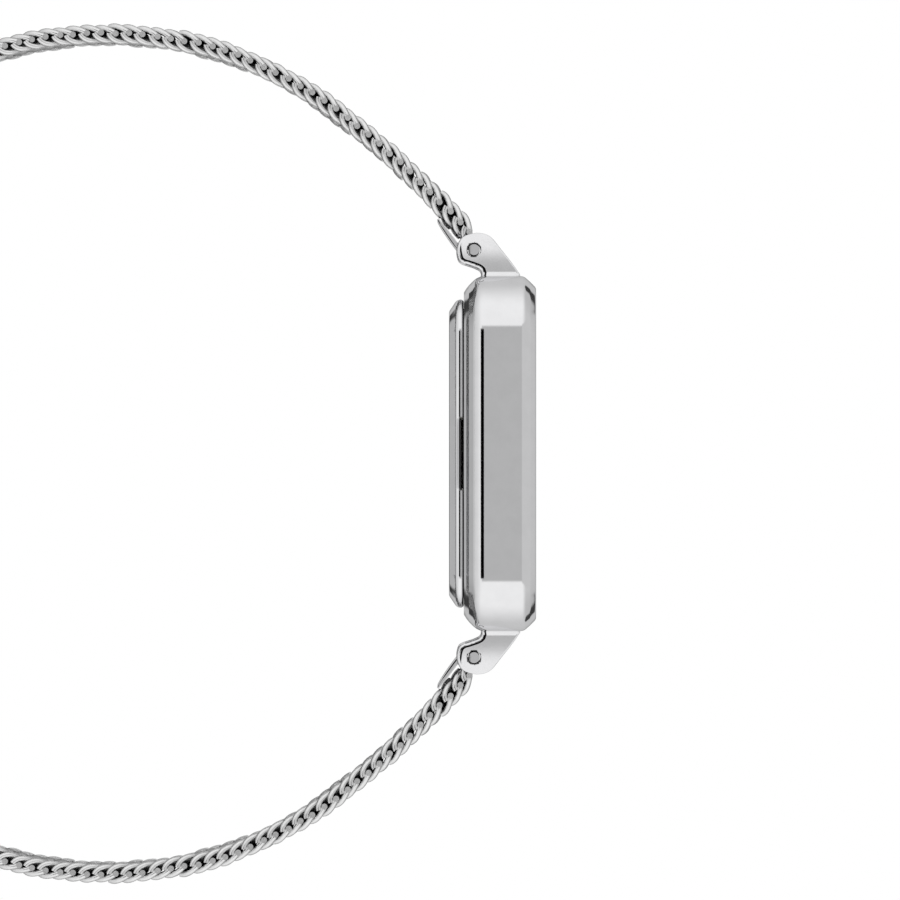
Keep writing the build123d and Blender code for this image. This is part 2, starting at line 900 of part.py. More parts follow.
def centre_wheel():
    toward = third_direction + 180
    turn = mating_direction(toward, third_pinion_teeth, toward, centre_teeth)
    high = wheel_top(CENTRE_LEVEL)
    body = gear(centre_teeth, centre_module, high - wheel_thickness, high, (0, 0), turn)
    hub = centre_tube_radius + spoke_rim_share * centre_module
    body = spoked(body, centre_teeth, centre_module, (0, 0), hub)
    body += rod(centre_tube_radius, high - wheel_thickness, minute_hand_low)
    return body - rod(centre_bore, 0, case_front)


def cannon_pinion():
    high = motion_level + motion_wheel_thickness
    body = gear(cannon_teeth, motion_module, motion_level, high, (0, 0), minute_direction)
    body += rod(cannon_tube_radius, motion_level, minute_hand_low + hand_thickness)
    return body - rod(cannon_bore, 0, case_front)


def minute_wheel_turn():
    return mating_direction(minute_direction, cannon_teeth, minute_direction, minute_teeth)


def minute_wheel():
    high = motion_level + motion_wheel_thickness
    place = minute_place
    body = gear(minute_teeth, motion_module, motion_level, high, place, minute_wheel_turn())
    top = hour_level + motion_wheel_thickness
    body += gear(hour_train_teeth[0], hour_module, high, top, place, minute_direction + 180)
    return body - rod(post_radius + post_fit, 0, case_front, place)


def hour_wheel():
    toward = minute_direction + 180
    turn = mating_direction(toward, hour_train_teeth[0], toward, hour_train_teeth[1])
    high = hour_level + motion_wheel_thickness
    body = gear(hour_train_teeth[1], hour_module, hour_level, high, (0, 0), turn)
    body += rod(hour_tube_radius, hour_level, hour_hand_low + hand_thickness)
    return body - rod(hour_bore, 0, case_front)


def setting_wheel():
    run = (setting_place[0] - minute_place[0], setting_place[1] - minute_place[1])
    direction = degrees(atan2(run[1], run[0]))
    turn = mating_direction(minute_wheel_turn(), minute_teeth, direction, setting_teeth)
    high = motion_level + motion_wheel_thickness
    body = gear(setting_teeth, motion_module, motion_level, high, setting_place, turn)
    return body - rod(post_radius + post_fit, 0, case_front, setting_place)


# Keyless works

def keyless_level():
    """The underside of the yoke and setting lever, just over the stem."""
    return max(plate_top, stem_height + stem_radius) + keyless_lift


def square_bar(side, start, end):
    bar = Box(end - start, side, side)
    return Pos((start + end) / 2, 0, stem_height) * bar


def clutch_wheel():
    """A sleeve on the stem's square, with face teeth and a groove for the yoke."""
    body = cross_rod(clutch_radius, clutch_start + clutch_tooth_height, clutch_end, 0, stem_height)
    rim = clutch_radius - clutch_groove_radius
    for tooth in range(clutch_teeth):
        block = Pos(0, clutch_radius - rim / 2, 0) * Box(clutch_tooth_height * 2, rim, clutch_tooth_width())
        block = Rot(tooth * 360 / clutch_teeth, 0, 0) * block
        body += Pos(clutch_start + clutch_tooth_height, 0, stem_height) * block
    body &= cross_rod(clutch_radius, clutch_start, clutch_end, 0, stem_height)
    middle = (clutch_start + clutch_end) / 2
    half = clutch_groove_width / 2
    groove = cross_rod(clutch_radius + overrun, middle - half, middle + half, 0, stem_height)
    body -= groove - cross_rod(clutch_groove_radius, middle - half, middle + half, 0, stem_height)
    return body - square_bar(stem_square + 2 * clutch_bore_fit, 0, case_side)


def clutch_tooth_width():
    return pi * clutch_radius / clutch_teeth


def yoke():
    """The plate whose finger lies in the clutch groove and shifts it."""
    middle = (clutch_start + clutch_end) / 2
    finger = Pos(middle, yoke_reach + yoke_length / 2) * Rectangle(yoke_finger, yoke_length)
    pad_middle = yoke_reach + yoke_length - yoke_pad_length / 2
    outline = finger + Pos(middle, pad_middle) * Rectangle(yoke_pad, yoke_pad_length)
    low = plate_top + keyless_lift
    return upright(outline, low, low + yoke_thickness)


def setting_lever():
    """The arm that turns on its post and holds the stem by a pin in its groove."""
    low = keyless_level()
    pin_place = (stem_groove_middle, 0)
    outline = stadium(lever_pivot, pin_place, lever_half_width)
    body = upright(outline, low, low + lever_thickness)
    pin_low = stem_height + stem_radius - lever_pin_depth
    body += rod(lever_pin_radius, pin_low, low + lever_thickness / 2, pin_place)
    return body - rod(post_radius + post_fit, 0, case_front, lever_pivot)


def crown_inner():
    return case_side / 2 + crown_gap


def stem():
    end = crown_inner() + crown_pocket_depth + stem_grip
    body = square_bar(stem_square, stem_square_start, stem_round_start)
    body += cross_rod(stem_radius, stem_round_start, end, 0, stem_height)
    groove_end = stem_groove_start + stem_groove_width
    groove = cross_rod(stem_radius + overrun, stem_groove_start, groove_end, 0, stem_height)
    neck = cross_rod(stem_groove_radius, stem_groove_start, groove_end, 0, stem_height)
    return body - (groove - neck)


def crown_tube():
    bore = stem_radius + tube_bore_fit
    end = case_side / 2 + tube_stand
    body = cross_rod(tube_radius, cavity_side / 2, end, 0, stem_height)
    return body - cross_rod(bore, 0, case_side, 0, stem_height)


def crown():
    """A fluted crown with a pocket that covers the tube."""
    start = crown_inner()
    end = start + crown_length
    body = cross_rod(crown_radius, start, end, 0, stem_height)
    body = chamfer(body.edges().filter_by(GeomType.CIRCLE), crown_edge)
    for flute in range(crown_flutes):
        direction = flute * 360 / crown_flutes
        y, z = polar(crown_radius, direction, (0, stem_height))
        body -= cross_rod(crown_flute_depth, start - overrun, end + overrun, y, z)
    pocket_end = start + crown_pocket_depth
    body -= cross_rod(crown_pocket_radius, start - overrun, pocket_end, 0, stem_height)
    stem_end = pocket_end + stem_grip
    return body - cross_rod(stem_radius + seat_fit, start, stem_end + seat_fit, 0, stem_height)


def crown_gasket():
    start = crown_inner() + crown_gasket_inset
    body = cross_rod(crown_pocket_radius - gasket_play, start, start + crown_gasket_width, 0, stem_height)
    return body - cross_rod(tube_radius + gasket_play, 0, case_side, 0, stem_height)


# Spring bars

def spring_bar_tubes():
    half = lug_gap / 2 - bar_tube_play
    solids = []
    for y in (pin_y, -pin_y):
        outer = cross_rod(bar_tube_radius, -half, half, y, pin_height)
        solids.append(outer - cross_rod(bar_tube_bore, -half - overrun, half + overrun, y, pin_height))
    return solids


def spring_bar_tips():
    end = lug_gap / 2 + lug_width - bar_tip_sink
    start = lug_gap / 2 - bar_tube_play - bar_tip_grip
    solids = []
    for y in (pin_y, -pin_y):
        solids.append(cross_rod(bar_tip_radius, start, end, y, pin_height))
        solids.append(cross_rod(bar_tip_radius, -end, -start, y, pin_height))
    return solids


def spring_bar_springs():
    reach = lug_gap / 2 - bar_tube_play - bar_tip_grip - 2 * bar_spring_wire
    pitch = 2 * reach / bar_spring_turns
    solids = []
    for y in (pin_y, -pin_y):
        end = (-reach, y, pin_height)
        line = Helix(pitch, 2 * reach, bar_spring_radius, center=end, direction=(1, 0, 0))
        start = Plane(origin=line @ 0, z_dir=line % 0)
        solids.append(sweep(start * Circle(bar_spring_wire), path=line))
    return solids


# Mesh band

def band_route():
    """The arcs of the band's middle line, as start, heading, length and turn."""
    turned = band_heading + sum(band_arc_turns)
    turns = band_arc_turns + [270 - turned]
    place = (pin_height, pin_y)
    heading = band_heading
    route = []
    for length, turn in zip(band_arc_lengths, turns):
        route.append((place, heading, length, turn))
        radius = length / radians(turn)
        centre = polar(radius, heading + 90, place)
        heading += turn
        place = polar(radius, heading - 90, centre)
    route.append((place, heading, place[1], 0))
    return route


route = band_route()
band_length = sum(piece[2] for piece in route)
clasp_height = route[-1][0][0]


def band_point(distance, offset=0):
    """A point beside the band's middle line, with offset away from the wrist."""
    left = distance
    for place, heading, length, turn in route:
        if left <= length or place == route[-1][0]:
            break
        left -= length
    if turn:
        radius = length / radians(turn)
        centre = polar(radius, heading + 90, place)
        return polar(radius + offset, heading - 90 + degrees(left / radius), centre)
    return polar(offset, heading - 90, polar(left, heading, place))


def band_outline(start, end, inner, outer):
    """The side view of a stretch of band between two offsets from its middle line."""
    stops = [start]
    passed = 0
    for piece in route:
        passed += piece[2]
        if start < passed < end:
            stops.append(passed)
    stops.append(end)
    edges = []
    for offset in (inner, outer):
        for first, last in zip(stops, stops[1:]):
            ends = [band_point(distance, offset) for distance in (first, last)]
            if first >= band_length - route[-1][2]:
                edges.append(Line(*ends))
            else:
                edges.append(ThreePointArc(ends[0], band_point((first + last) / 2, offset), ends[1]))
    for distance in (start, end):
        edges.append(Line(band_point(distance, inner), band_point(distance, outer)))
    return make_face(edges)


def band_solid(outline, width):
    return side_prism(outline, -width / 2, width / 2)


def rib_gaps(start, end):
    """Wedges that part the woven ribs, on the outer and inner face in turn."""
    half = band_thickness / 2
    count = round((end - start) / (coil_pitch * coils_in_rib))
    step = (end - start) / count
    reach = rib_gap_width / 2 * (rib_depth + overrun) / rib_depth
    gaps = []
    for number in range(2 * count):
        face = 1 if number % 2 == 0 else -1
        middle = start + (number + 1 / 2) * step / 2
        tip = band_point(middle, face * (half - rib_depth))
        mouth = [band_point(middle + side * reach, face * (half + overrun)) for side in (-1, 1)]
        gaps.append(make_face(Polyline(tip, *mouth, close=True)))
    return gaps


def mesh_stretches(end_inset, covered_length):
    """The woven band of one side, cut where it bends, each with a round start."""
    half = band_thickness / 2
    clear = half + rib_margin
    band_end_place = band_length - clasp_mouth
    ends = band_hinges + [band_end_place - end_inset]
    starts = [0] + band_hinges
    stretches = []
    for count, (start, end) in enumerate(zip(starts, ends)):
        outline = band_outline(start, end, -half, half)
        if count == 0:
            outline -= Pos(*band_point(0)) * Circle(sleeve_radius + leaf_play)
        else:
            outline += Pos(*band_point(start)) * Circle(half)
        ribs_end = min(end, band_end_place - covered_length)
        for gap in rib_gaps(start + clear, ribs_end - clear):
            outline -= gap
        if end in band_hinges:
            outline -= Pos(*band_point(end)) * Circle(half + band_hinge_play)
        stretches.append(band_solid(outline, band_width))
    return stretches


def band_end():
    """The folded sleeve round the spring bar, with its leaf along the inner side of the mesh."""
    offset = -band_thickness / 2 - leaf_play
    outline = Pos(*band_point(0)) * Circle(sleeve_radius)
    outline += band_outline(0, leaf_length, offset - leaf_thickness, offset)
    outline -= Pos(*band_point(0)) * Circle(sleeve_bore)
    return band_solid(outline, lug_gap - 2 * sleeve_side_play)


# Clasp, placed by its distance from the middle plane and its offset from the band line

def clasp_block(width, start, end, inner, outer):
    """A block across the band, with offset away from the wrist."""
    block = Box(width, end - start, outer - inner)
    return Pos(0, (start + end) / 2, clasp_height - (inner + outer) / 2) * block


def clasp_end_cap():
    half = band_thickness / 2 + clasp_play
    wall = half + end_cap_wall
    start = clasp_mouth
    width = band_width + 2 * (end_cap_side + clasp_play)
    body = clasp_block(width, start, start + end_cap_length, -wall, wall)
    floor = start + end_cap_floor - clasp_play
    body -= clasp_block(band_width + 2 * clasp_play, floor, case_side, -half, half)
    slot = tongue_thickness / 2 + seat_fit
    return body - clasp_block(tongue_width + 2 * seat_fit, -overrun, floor + overrun, -slot, slot)


def clasp_tongue():
    """A flat hook whose free end narrows, pressed into the end cap."""
    root = clasp_mouth + end_cap_floor - clasp_play
    half = tongue_thickness / 2
    tip = half * tongue_taper_share
    outline = make_face(
        Polyline(
            (clasp_height - half, root),
            (clasp_height + half, root),
            (clasp_height + half, -tongue_reach / 2),
            (clasp_height + tip, -tongue_reach),
            (clasp_height - tip, -tongue_reach),
            (clasp_height - half, -tongue_reach / 2),
            close=True,
        )
    )
    return band_solid(outline, tongue_width)


def clasp_outer():
    return band_thickness / 2 + clasp_play + clasp_wall


def clasp_pin_offset():
    return clasp_outer() + clasp_lever_gap + clasp_knuckle_radius


def clasp_pin_y():
    return -clasp_mouth - clasp_length + clasp_pin_inset


def clasp_width():
    return band_width + 2 * (clasp_play + clasp_side_wall)


def clasp_box():
    """The box round the mesh end, open at both ends, with ears for the lever pin."""
    half = band_thickness / 2 + clasp_play
    wall = clasp_outer()
    start = -clasp_mouth - clasp_length
    body = clasp_block(clasp_width(), start, -clasp_mouth, -wall, wall)
    y, z = clasp_pin_y(), clasp_height - clasp_pin_offset()
    half_width = clasp_width() / 2
    for side in (-1, 1):
        inner = half_width - clasp_ear_width
        ear_low = min(side * inner, side * half_width)
        ear = cross_rod(clasp_knuckle_radius, ear_low, ear_low + clasp_ear_width, y, z)
        foot = Box(clasp_ear_width, 2 * clasp_knuckle_radius, clasp_pin_offset() - half - seat_fit)
        foot_middle = clasp_height - (half + seat_fit + clasp_pin_offset()) / 2
        body += ear + Pos(ear_low + clasp_ear_width / 2, y, foot_middle) * foot
    body -= clasp_block(band_width + 2 * clasp_play, start - overrun, overrun, -half, half)
    body -= cross_rod(clasp_pin_radius + seat_fit, -clasp_width(), clasp_width(), y, z)
    window_start = y + clasp_toe_start - clasp_window_margin
    window_end = y + clasp_toe_start + clasp_toe_length + clasp_window_margin
    window = toe_width() + 2 * clasp_window_margin
    return body - clasp_block(window, window_start, window_end, half - seat_fit, wall + seat_fit)


def lever_width():
    return clasp_width() - 2 * (clasp_ear_width + clasp_ear_gap)


def toe_width():
    return lever_width() / 2


def clasp_lever():
    """The lid that turns on the box's pin, with a toe that presses the mesh."""
    low = clasp_outer() + clasp_lever_gap
    y, z = clasp_pin_y(), clasp_height - clasp_pin_offset()
    half = lever_width() / 2
    high = low + clasp_lever_thickness
    tip = -clasp_mouth - clasp_lever_tip
    body = clasp_block(lever_width(), y, tip, low, high)
    cover_start = y + clasp_knuckle_radius + clasp_ear_gap
    cover_width = clasp_width() - 2 * clasp_lever_side
    body += clasp_block(cover_width, cover_start, tip, low, high)
    body += cross_rod(clasp_knuckle_radius, -half, half, y, z)
    toe = y + clasp_toe_start
    body += clasp_block(toe_width(), toe, toe + clasp_toe_length, low - clasp_toe_depth, low)
    return body - cross_rod(clasp_pin_radius + clasp_pin_fit, -clasp_width(), clasp_width(), y, z)


def clasp_lever_pin():
    half = clasp_width() / 2
    return cross_rod(clasp_pin_radius, -half, half, clasp_pin_y(), clasp_height - clasp_pin_offset())


# Every sub-part, written under its own name

def parts():
    made = {
        "case_middle": case_middle(),
        "crystal": crystal(),
        "crystal_gasket": crystal_gasket(),
        "rehaut_ring": rehaut_ring(),
        "caseback": caseback(),
        "caseback_gasket": caseback_gasket(),
        "dial": dial(),
        "hour_markers": hour_markers(),
        "hour_hand": hour_hand(),
        "minute_hand": minute_hand(),
        "seconds_hand": seconds_hand(),
        "main_plate": main_plate(),
        "train_bridge": train_bridge(),
        "movement_holder": movement_holder(),
        "movement_screws": movement_screws(),
        "battery": battery(),
        "battery_clamp": battery_clamp(),
        "circuit_board": circuit_board(),
        "driver_chip": driver_chip(),
        "quartz_can": quartz_can(),
        "coil_core": coil_core(),
        "coil": coil(),
        "stator": stator(),
        "rotor": rotor(),
        "intermediate_wheel": intermediate_wheel(),
        "seconds_wheel": seconds_wheel(),
        "third_wheel": third_wheel(),
        "centre_wheel": centre_wheel(),
        "cannon_pinion": cannon_pinion(),
        "minute_wheel": minute_wheel(),
        "hour_wheel": hour_wheel(),
        "setting_wheel": setting_wheel(),
        "clutch_wheel": clutch_wheel(),
        "yoke": yoke(),
        "setting_lever": setting_lever(),
        "stem": stem(),
        "crown_tube": crown_tube(),
        "crown": crown(),
        "crown_gasket": crown_gasket(),
        "spring_bar_tubes": spring_bar_tubes(),
        "spring_bar_tips": spring_bar_tips(),
        "spring_bar_springs": spring_bar_springs(),
        "band_end_12": band_end(),
        "band_end_6": mirrored(band_end()),
        "clasp_end_cap": clasp_end_cap(),
        "clasp_tongue": clasp_tongue(),
        "clasp_box": clasp_box(),
        "clasp_lever": clasp_lever(),
        "clasp_lever_pin": clasp_lever_pin(),
    }
    for count, solid in enumerate(mesh_stretches(end_cap_floor, end_cap_length), start=1):
        made[f"mesh_12_{count}"] = solid
    for count, solid in enumerate(mesh_stretches(mesh_end_in_clasp, clasp_length), start=1):
        made[f"mesh_6_{count}"] = mirrored(solid)
    return made


os.makedirs("parts", exist_ok=True)
for name, shape in parts().items():
    solids = shape if isinstance(shape, list) else shape.solids()
    whole = Compound(children=[solid.solid() for solid in solids])
    export_step(whole if len(solids) > 1 else solids[0].solid(), f"parts/{name}.step")
    print(name, len(solids), round(sum(solid.volume for solid in solids), 3))
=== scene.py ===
import json
from math import cos, degrees, exp, pi, radians, sin, sqrt, tan

import bmesh
import bpy
from bpy.props import FloatProperty, FloatVectorProperty, IntProperty, PointerProperty
from mathutils import Matrix, Vector


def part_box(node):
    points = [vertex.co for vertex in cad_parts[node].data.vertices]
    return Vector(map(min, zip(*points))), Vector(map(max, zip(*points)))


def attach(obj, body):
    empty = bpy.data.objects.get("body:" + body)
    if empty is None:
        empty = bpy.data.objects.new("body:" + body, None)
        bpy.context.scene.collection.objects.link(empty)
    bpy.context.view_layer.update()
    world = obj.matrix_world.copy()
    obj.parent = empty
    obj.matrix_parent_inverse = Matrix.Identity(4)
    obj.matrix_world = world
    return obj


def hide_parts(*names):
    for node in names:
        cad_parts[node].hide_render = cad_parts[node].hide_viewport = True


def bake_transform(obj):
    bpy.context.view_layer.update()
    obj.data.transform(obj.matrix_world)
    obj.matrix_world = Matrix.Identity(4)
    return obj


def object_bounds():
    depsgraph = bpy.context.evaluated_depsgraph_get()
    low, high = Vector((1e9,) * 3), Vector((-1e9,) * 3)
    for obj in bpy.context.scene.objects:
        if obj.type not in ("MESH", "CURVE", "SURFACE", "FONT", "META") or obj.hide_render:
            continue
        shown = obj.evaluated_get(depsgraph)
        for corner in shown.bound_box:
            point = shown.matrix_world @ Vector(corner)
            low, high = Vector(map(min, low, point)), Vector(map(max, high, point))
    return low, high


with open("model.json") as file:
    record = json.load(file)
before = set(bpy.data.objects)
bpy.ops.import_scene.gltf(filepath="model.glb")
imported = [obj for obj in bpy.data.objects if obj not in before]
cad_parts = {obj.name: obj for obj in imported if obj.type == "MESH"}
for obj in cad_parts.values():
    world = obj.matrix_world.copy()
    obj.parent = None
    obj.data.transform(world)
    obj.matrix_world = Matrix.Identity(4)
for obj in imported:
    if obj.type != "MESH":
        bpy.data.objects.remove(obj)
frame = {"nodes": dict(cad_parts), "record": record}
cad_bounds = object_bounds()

bl_info = {
    "name": "Square mesh watch",
    "version": (1, 0, 0),
    "blender": (4, 5, 0),
    "location": "View3D > Sidebar > Watch",
    "description": "Builds a square steel watch with a woven mesh band round its packed model",
    "category": "Add Mesh",
}

# The row frame has its origin in the middle of the caseback, +Z out of the dial
# and +Y towards 12 o'clock. Sizes below are in millimetres and are turned into metres.
MM = 0.001
CASE_LOW, CASE_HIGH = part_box("case_middle")
CASE_HALF = 14.0 * MM
BAND_HALF_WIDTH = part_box("mesh_12_1")[1].x
FLOOR_LEVEL = cad_bounds[0].z
PIN_Y, PIN_Z = 16.1, 1.98


def size(name, value, text):
    return FloatProperty(name=name, default=value * MM, description=text, subtype="DISTANCE",
                         unit="LENGTH", precision=6)


def factor(name, value, text, most=1.0, **extra):
    return FloatProperty(name=name, default=value, description=text, min=0, max=most, **extra)


def whole(name, value, text, least=0, most=64):
    return IntProperty(name=name, default=value, description=text, min=least, max=most)


def colour(name, value, text):
    return FloatVectorProperty(name=name, default=value, description=text, subtype="COLOR",
                               size=3, min=0, max=1)


class WatchStudio(bpy.types.PropertyGroup):
    """Camera, light and floor"""
    view_width: size("View width", 71.28, "Width of the picture at the watch")
    view_height: size("View middle, along the dial", 0.285, "Middle of the picture towards 12 o'clock")
    view_depth: size("View middle, above the caseback", 0.08, "Middle of the picture towards the dial")
    distance: size("Camera distance", 2400, "Distance from the camera to the watch")
    floor_size: size("Floor size", 1600, "Side of the square floor")
    floor_colour: colour("Floor colour", (0.86, 0.86, 0.86), "Colour of the floor")
    ambient: factor("Room light", 0.75, "Strength of the white room on matt surfaces", 2)
    lamp_power: factor("Lamp power", 3.0, "Power of each soft lamp", 50, subtype="POWER")


class WatchCase(bpy.types.PropertyGroup):
    """Case middle, lugs and caseback"""
    back_level: size("Back level", 1.18, "Height of the case's back face")
    front_level: size("Front level", 6.87, "Height of the case's front face")
    back_step: size("Back edge height", 0.39, "Height of the flatter edge beside the back face")
    bevel_bulge: size("Bevel bulge", 0.03, "How far the bevels bulge")
    corner: size("Corner radius", 4.5, "Radius of the case corners seen from the dial")
    back_bevel_rise: size("Back bevel rise", 1.19, "Height of the bevel beside the caseback")
    back_bevel_run: size("Back bevel run", 1.28, "Width of the bevel beside the caseback")
    front_bevel_rise: size("Front bevel rise", 0.98, "Height of the bevel beside the crystal")
    front_bevel_run: size("Front bevel run", 0.92, "Width of the bevel beside the crystal")
    side_edge: size("Side edge rounding", 1.0, "Radius between the side and its bevels")
    face_edge: size("Face edge rounding", 0.4, "Radius between a bevel and the face beside it")
    corner_steps: whole("Corner steps", 28, "Faces round each corner", 4)
    lug_low: size("Lug inner face", 7.15, "Distance of a lug's inner face from the middle")
    lug_high: size("Lug outer face", 8.95, "Distance of a lug's outer face from the middle")
    lug_edge: size("Lug edge", 0.32, "Width of the rounded edge round a lug")
    lug_slope: factor("Lug slope", 0.05, "How fast a lug's outer face falls away where it leaves the case")
    lug_dome: factor("Lug curve", 22, "How much faster it falls away towards the tip, for each metre", 200)
    lug_flare: size("Lug foot", 0.2, "Width of the rounded foot where a lug's outer face meets the case")
    rim_round: size("Caseback rim", 0.52, "Rounding of the caseback's rim")
    notch_width: size("Notch width", 5.8, "Width of the notch for a case opener")
    notch_depth: size("Notch depth", 0.42, "Depth of the notch for a case opener")
    pin_dome: size("Spring bar dome", 0.013, "How far the end of a spring bar bulges")
    lug_hole: size("Lug hole", 1.1, "Diameter of the hole for the spring bar")
    pin_y: size("Spring bar place", PIN_Y, "Distance of the spring bar from the middle")
    pin_radius: size("Spring bar end", 0.43, "Radius of the end of a spring bar")
    pin_inner: size("Spring bar end start", 6.9, "Distance of its inner end from the middle")
    pin_outer: size("Spring bar end stop", 8.6, "Distance of its outer end from the middle")
    pin_z: size("Spring bar height", PIN_Z, "Height of the spring bar above the caseback")


class WatchBand(bpy.types.PropertyGroup):
    """Woven steel mesh"""
    wire: size("Wire radius", 0.23, "Radius of the mesh wire")
    coil_pitch: size("Coil pitch", 1.1, "Distance from one coil to the next along the band")
    turn_pitch: size("Turn pitch", 0.95, "Distance from one turn of a coil to the next")
    reach: size("Coil reach", 0.85, "Half the length of a coil along the band")
    rise: size("Coil rise", 0.34, "Half the thickness of a coil before it leans")
    lean: factor("Coil lean", 0.39, "How far a coil rises over its length")
    edge_height: size("Edge wire height", 0.7, "Half the thickness of the band at its edges")
    turn_points: whole("Points in a turn", 12, "Points along one turn of a coil", 6, 32)
    wire_sides: whole("Sides of a wire", 6, "Faces round a coil's wire", 4, 16)
    leaf_length: size("Leaf length", 3.7, "Length of the leaf under the mesh from the spring bar")
    leaf_bulge: size("Leaf bulge", 0.42, "Greatest thickness of the leaf")
    seed: whole("Seed", 7, "Seed of the small unevenness of the coils")


class WatchCrown(bpy.types.PropertyGroup):
    """Crown"""
    flutes: whole("Flutes", 30, "Number of grooves round the crown")
    flute_depth: size("Flute depth", 0.14, "Depth and half width of a groove")
    edge: size("Edge rounding", 0.28, "Rounding of the crown's rims")
    dome: size("Dome", 0.12, "How far the outer end bulges")
    pocket_radius: size("Pocket radius", 1.25, "Radius of the pocket over the tube")
    pocket_depth: size("Pocket depth", 1.3, "Depth of the pocket over the tube")


class WatchDial(bpy.types.PropertyGroup):
    """Dial printing"""
    track: size("Minute track", 10.15, "Distance of the minute track from the middle")
    mark_length: size("Minute mark length", 0.45, "Length of a minute mark")
    mark_width: size("Minute mark width", 0.1, "Width of a minute mark")
    print_thickness: size("Print thickness", 0.02, "Thickness of the printed marks")


class WatchFinish(bpy.types.PropertyGroup):
    """Colours of the finishes"""
    steel: colour("Polished steel", (0.83, 0.83, 0.84), "Colour of the polished steel")
    wire: colour("Mesh steel", (0.84, 0.84, 0.84), "Colour of the mesh wire")
    plain: colour("Plain steel", (0.62, 0.62, 0.63), "Colour of the turned steel")
    brass: colour("Movement brass", (0.78, 0.62, 0.32), "Colour of the movement")
    dial: colour("Dial", (0.86, 0.86, 0.84), "Colour of the dial")
    copper: colour("Copper", (0.72, 0.42, 0.25), "Colour of the coil winding")
    board: colour("Circuit board", (0.06, 0.22, 0.11), "Colour of the circuit board")
    holder: colour("Holder", (0.82, 0.82, 0.78), "Colour of the movement holder")


# Node trees


class Number:
    """A value in a node tree that can be reckoned with."""

    def __init__(self, maker, socket):
        self.maker, self.socket = maker, socket

    def __add__(self, other):
        return self.maker.math("ADD", self, other)

    def __sub__(self, other):
        return self.maker.math("SUBTRACT", self, other)

    def __rsub__(self, other):
        return self.maker.math("SUBTRACT", other, self)

    def __mul__(self, other):
        return self.maker.math("MULTIPLY", self, other)

    def __truediv__(self, other):
        return self.maker.math("DIVIDE", self, other)

    def __abs__(self):
        return self.maker.math("ABSOLUTE", self)


class Maker:
    """Adds nodes to a tree and joins their sockets."""

    def __init__(self, tree):
        self.tree = tree

    def feed(self, socket, value):
        if isinstance(value, Number):
            self.tree.links.new(value.socket, socket)
        else:
            socket.default_value = value

    def node(self, kind, inputs=None, **settings):
        made = self.tree.nodes.new(kind)
        for key, value in settings.items():
            setattr(made, key, value)
        for key, value in (inputs or {}).items():
            self.feed(made.inputs[key], value)
        return made

    def out(self, kind, inputs=None, output=0, **settings):
        """One output of a new node."""
        return Number(self, self.node(kind, inputs, **settings).outputs[output])

    def outs(self, kind, inputs=None):
        """All outputs of a new node by their names."""
        return {socket.name: Number(self, socket) for socket in self.node(kind, inputs).outputs}

    def math(self, operation, *values):
        return self.out("ShaderNodeMath", dict(enumerate(values)), operation=operation)

    def vector(self, x, y, z):
        return self.out("ShaderNodeCombineXYZ", {0: x, 1: y, 2: z})

    def split(self, vector):
        return list(self.outs("ShaderNodeSeparateXYZ", {0: vector}).values())

    def ramp(self, value, low, high, start=0.0, end=1.0):
        return self.out("ShaderNodeMapRange", {0: value, 1: low, 2: high, 3: start, 4: end},
                        interpolation_type="SMOOTHSTEP")

    def mix(self, factor, first, second):
        return self.out("ShaderNodeMix", {0: factor, 6: first, 7: second}, 2, data_type="RGBA")


def rgba(values, share=1.0):
    return (*[value * share for value in values], 1.0)


class Finish(Maker):
    """A principled material whose colour, roughness and height follow patterns."""

    def __init__(self, name, base, rough, metal=0.0, **sockets):
        self.made = bpy.data.materials.new(name)
        self.made.use_nodes = True
        super().__init__(self.made.node_tree)
        self.base = base
        self.sockets = self.tree.nodes["Principled BSDF"].inputs
        given = {"Base_Color": rgba(base), "Roughness": rough, "Metallic": metal, **sockets}
        for key, value in given.items():
            self.sockets[key.replace("_", " ")].default_value = value
        self.made.diffuse_color = rgba(base)

    def place(self, scale=(1, 1, 1)):
        place = self.out("ShaderNodeTexCoord", output="Object")
        return self.out("ShaderNodeMapping", {"Vector": place, "Scale": scale})

    def noise(self, place, scale, detail=3.0, roughness=0.5):
        return self.out("ShaderNodeTexNoise", {"Vector": place, "Scale": scale, "Detail": detail,
                                               "Roughness": roughness}, "Fac")

    def unshaded_share(self):
        """0 in a groove or deep in the weave, where shade is painted, and 1 outside."""
        return self.out("ShaderNodeAttribute", output="Fac", attribute_name="open")

    def shaded(self, share, dark):
        """The base colour, darkened where the share is 0."""
        return self.mix(share, rgba(self.base, dark), rgba(self.base))

    def paint(self, value):
        self.feed(self.sockets["Base Color"], value)

    def roughen(self, pattern, low, high, least, most):
        self.feed(self.sockets["Roughness"], self.ramp(pattern, low, high, least, most))

    def bump(self, height, distance):
        made = self.out("ShaderNodeBump", {"Height": height, "Distance": distance, "Strength": 1.0})
        self.feed(self.sockets["Normal"], made)


def polished_steel(name, base, rough=0.07, grooved_and_shaded=False):
    """Polished steel with faint polishing lines and slight clouding, with painted shade, near black, in its
    grooves if it has them.
    """
    steel = Finish(name, base, rough, 1.0, Specular_Tint=(0.7, 0.7, 0.7, 1.0))
    place = steel.place()
    shade = steel.shaded(steel.ramp(steel.noise(place, 900.0, 2.0), 0.3, 0.7), 0.97)
    # Painted shade: the grooves are painted near black
    if grooved_and_shaded:
        shade = steel.mix(steel.ramp(steel.unshaded_share(), 0.2, 0.8), (0.01, 0.01, 0.01, 1), shade)
    steel.paint(shade)
    fine = steel.noise(place, 9000.0, 4.0, 0.6)
    steel.roughen(fine, 0.3, 0.7, rough * 0.75, rough * 1.3)
    steel.bump(fine, 0.0008 * MM)
    return steel.made


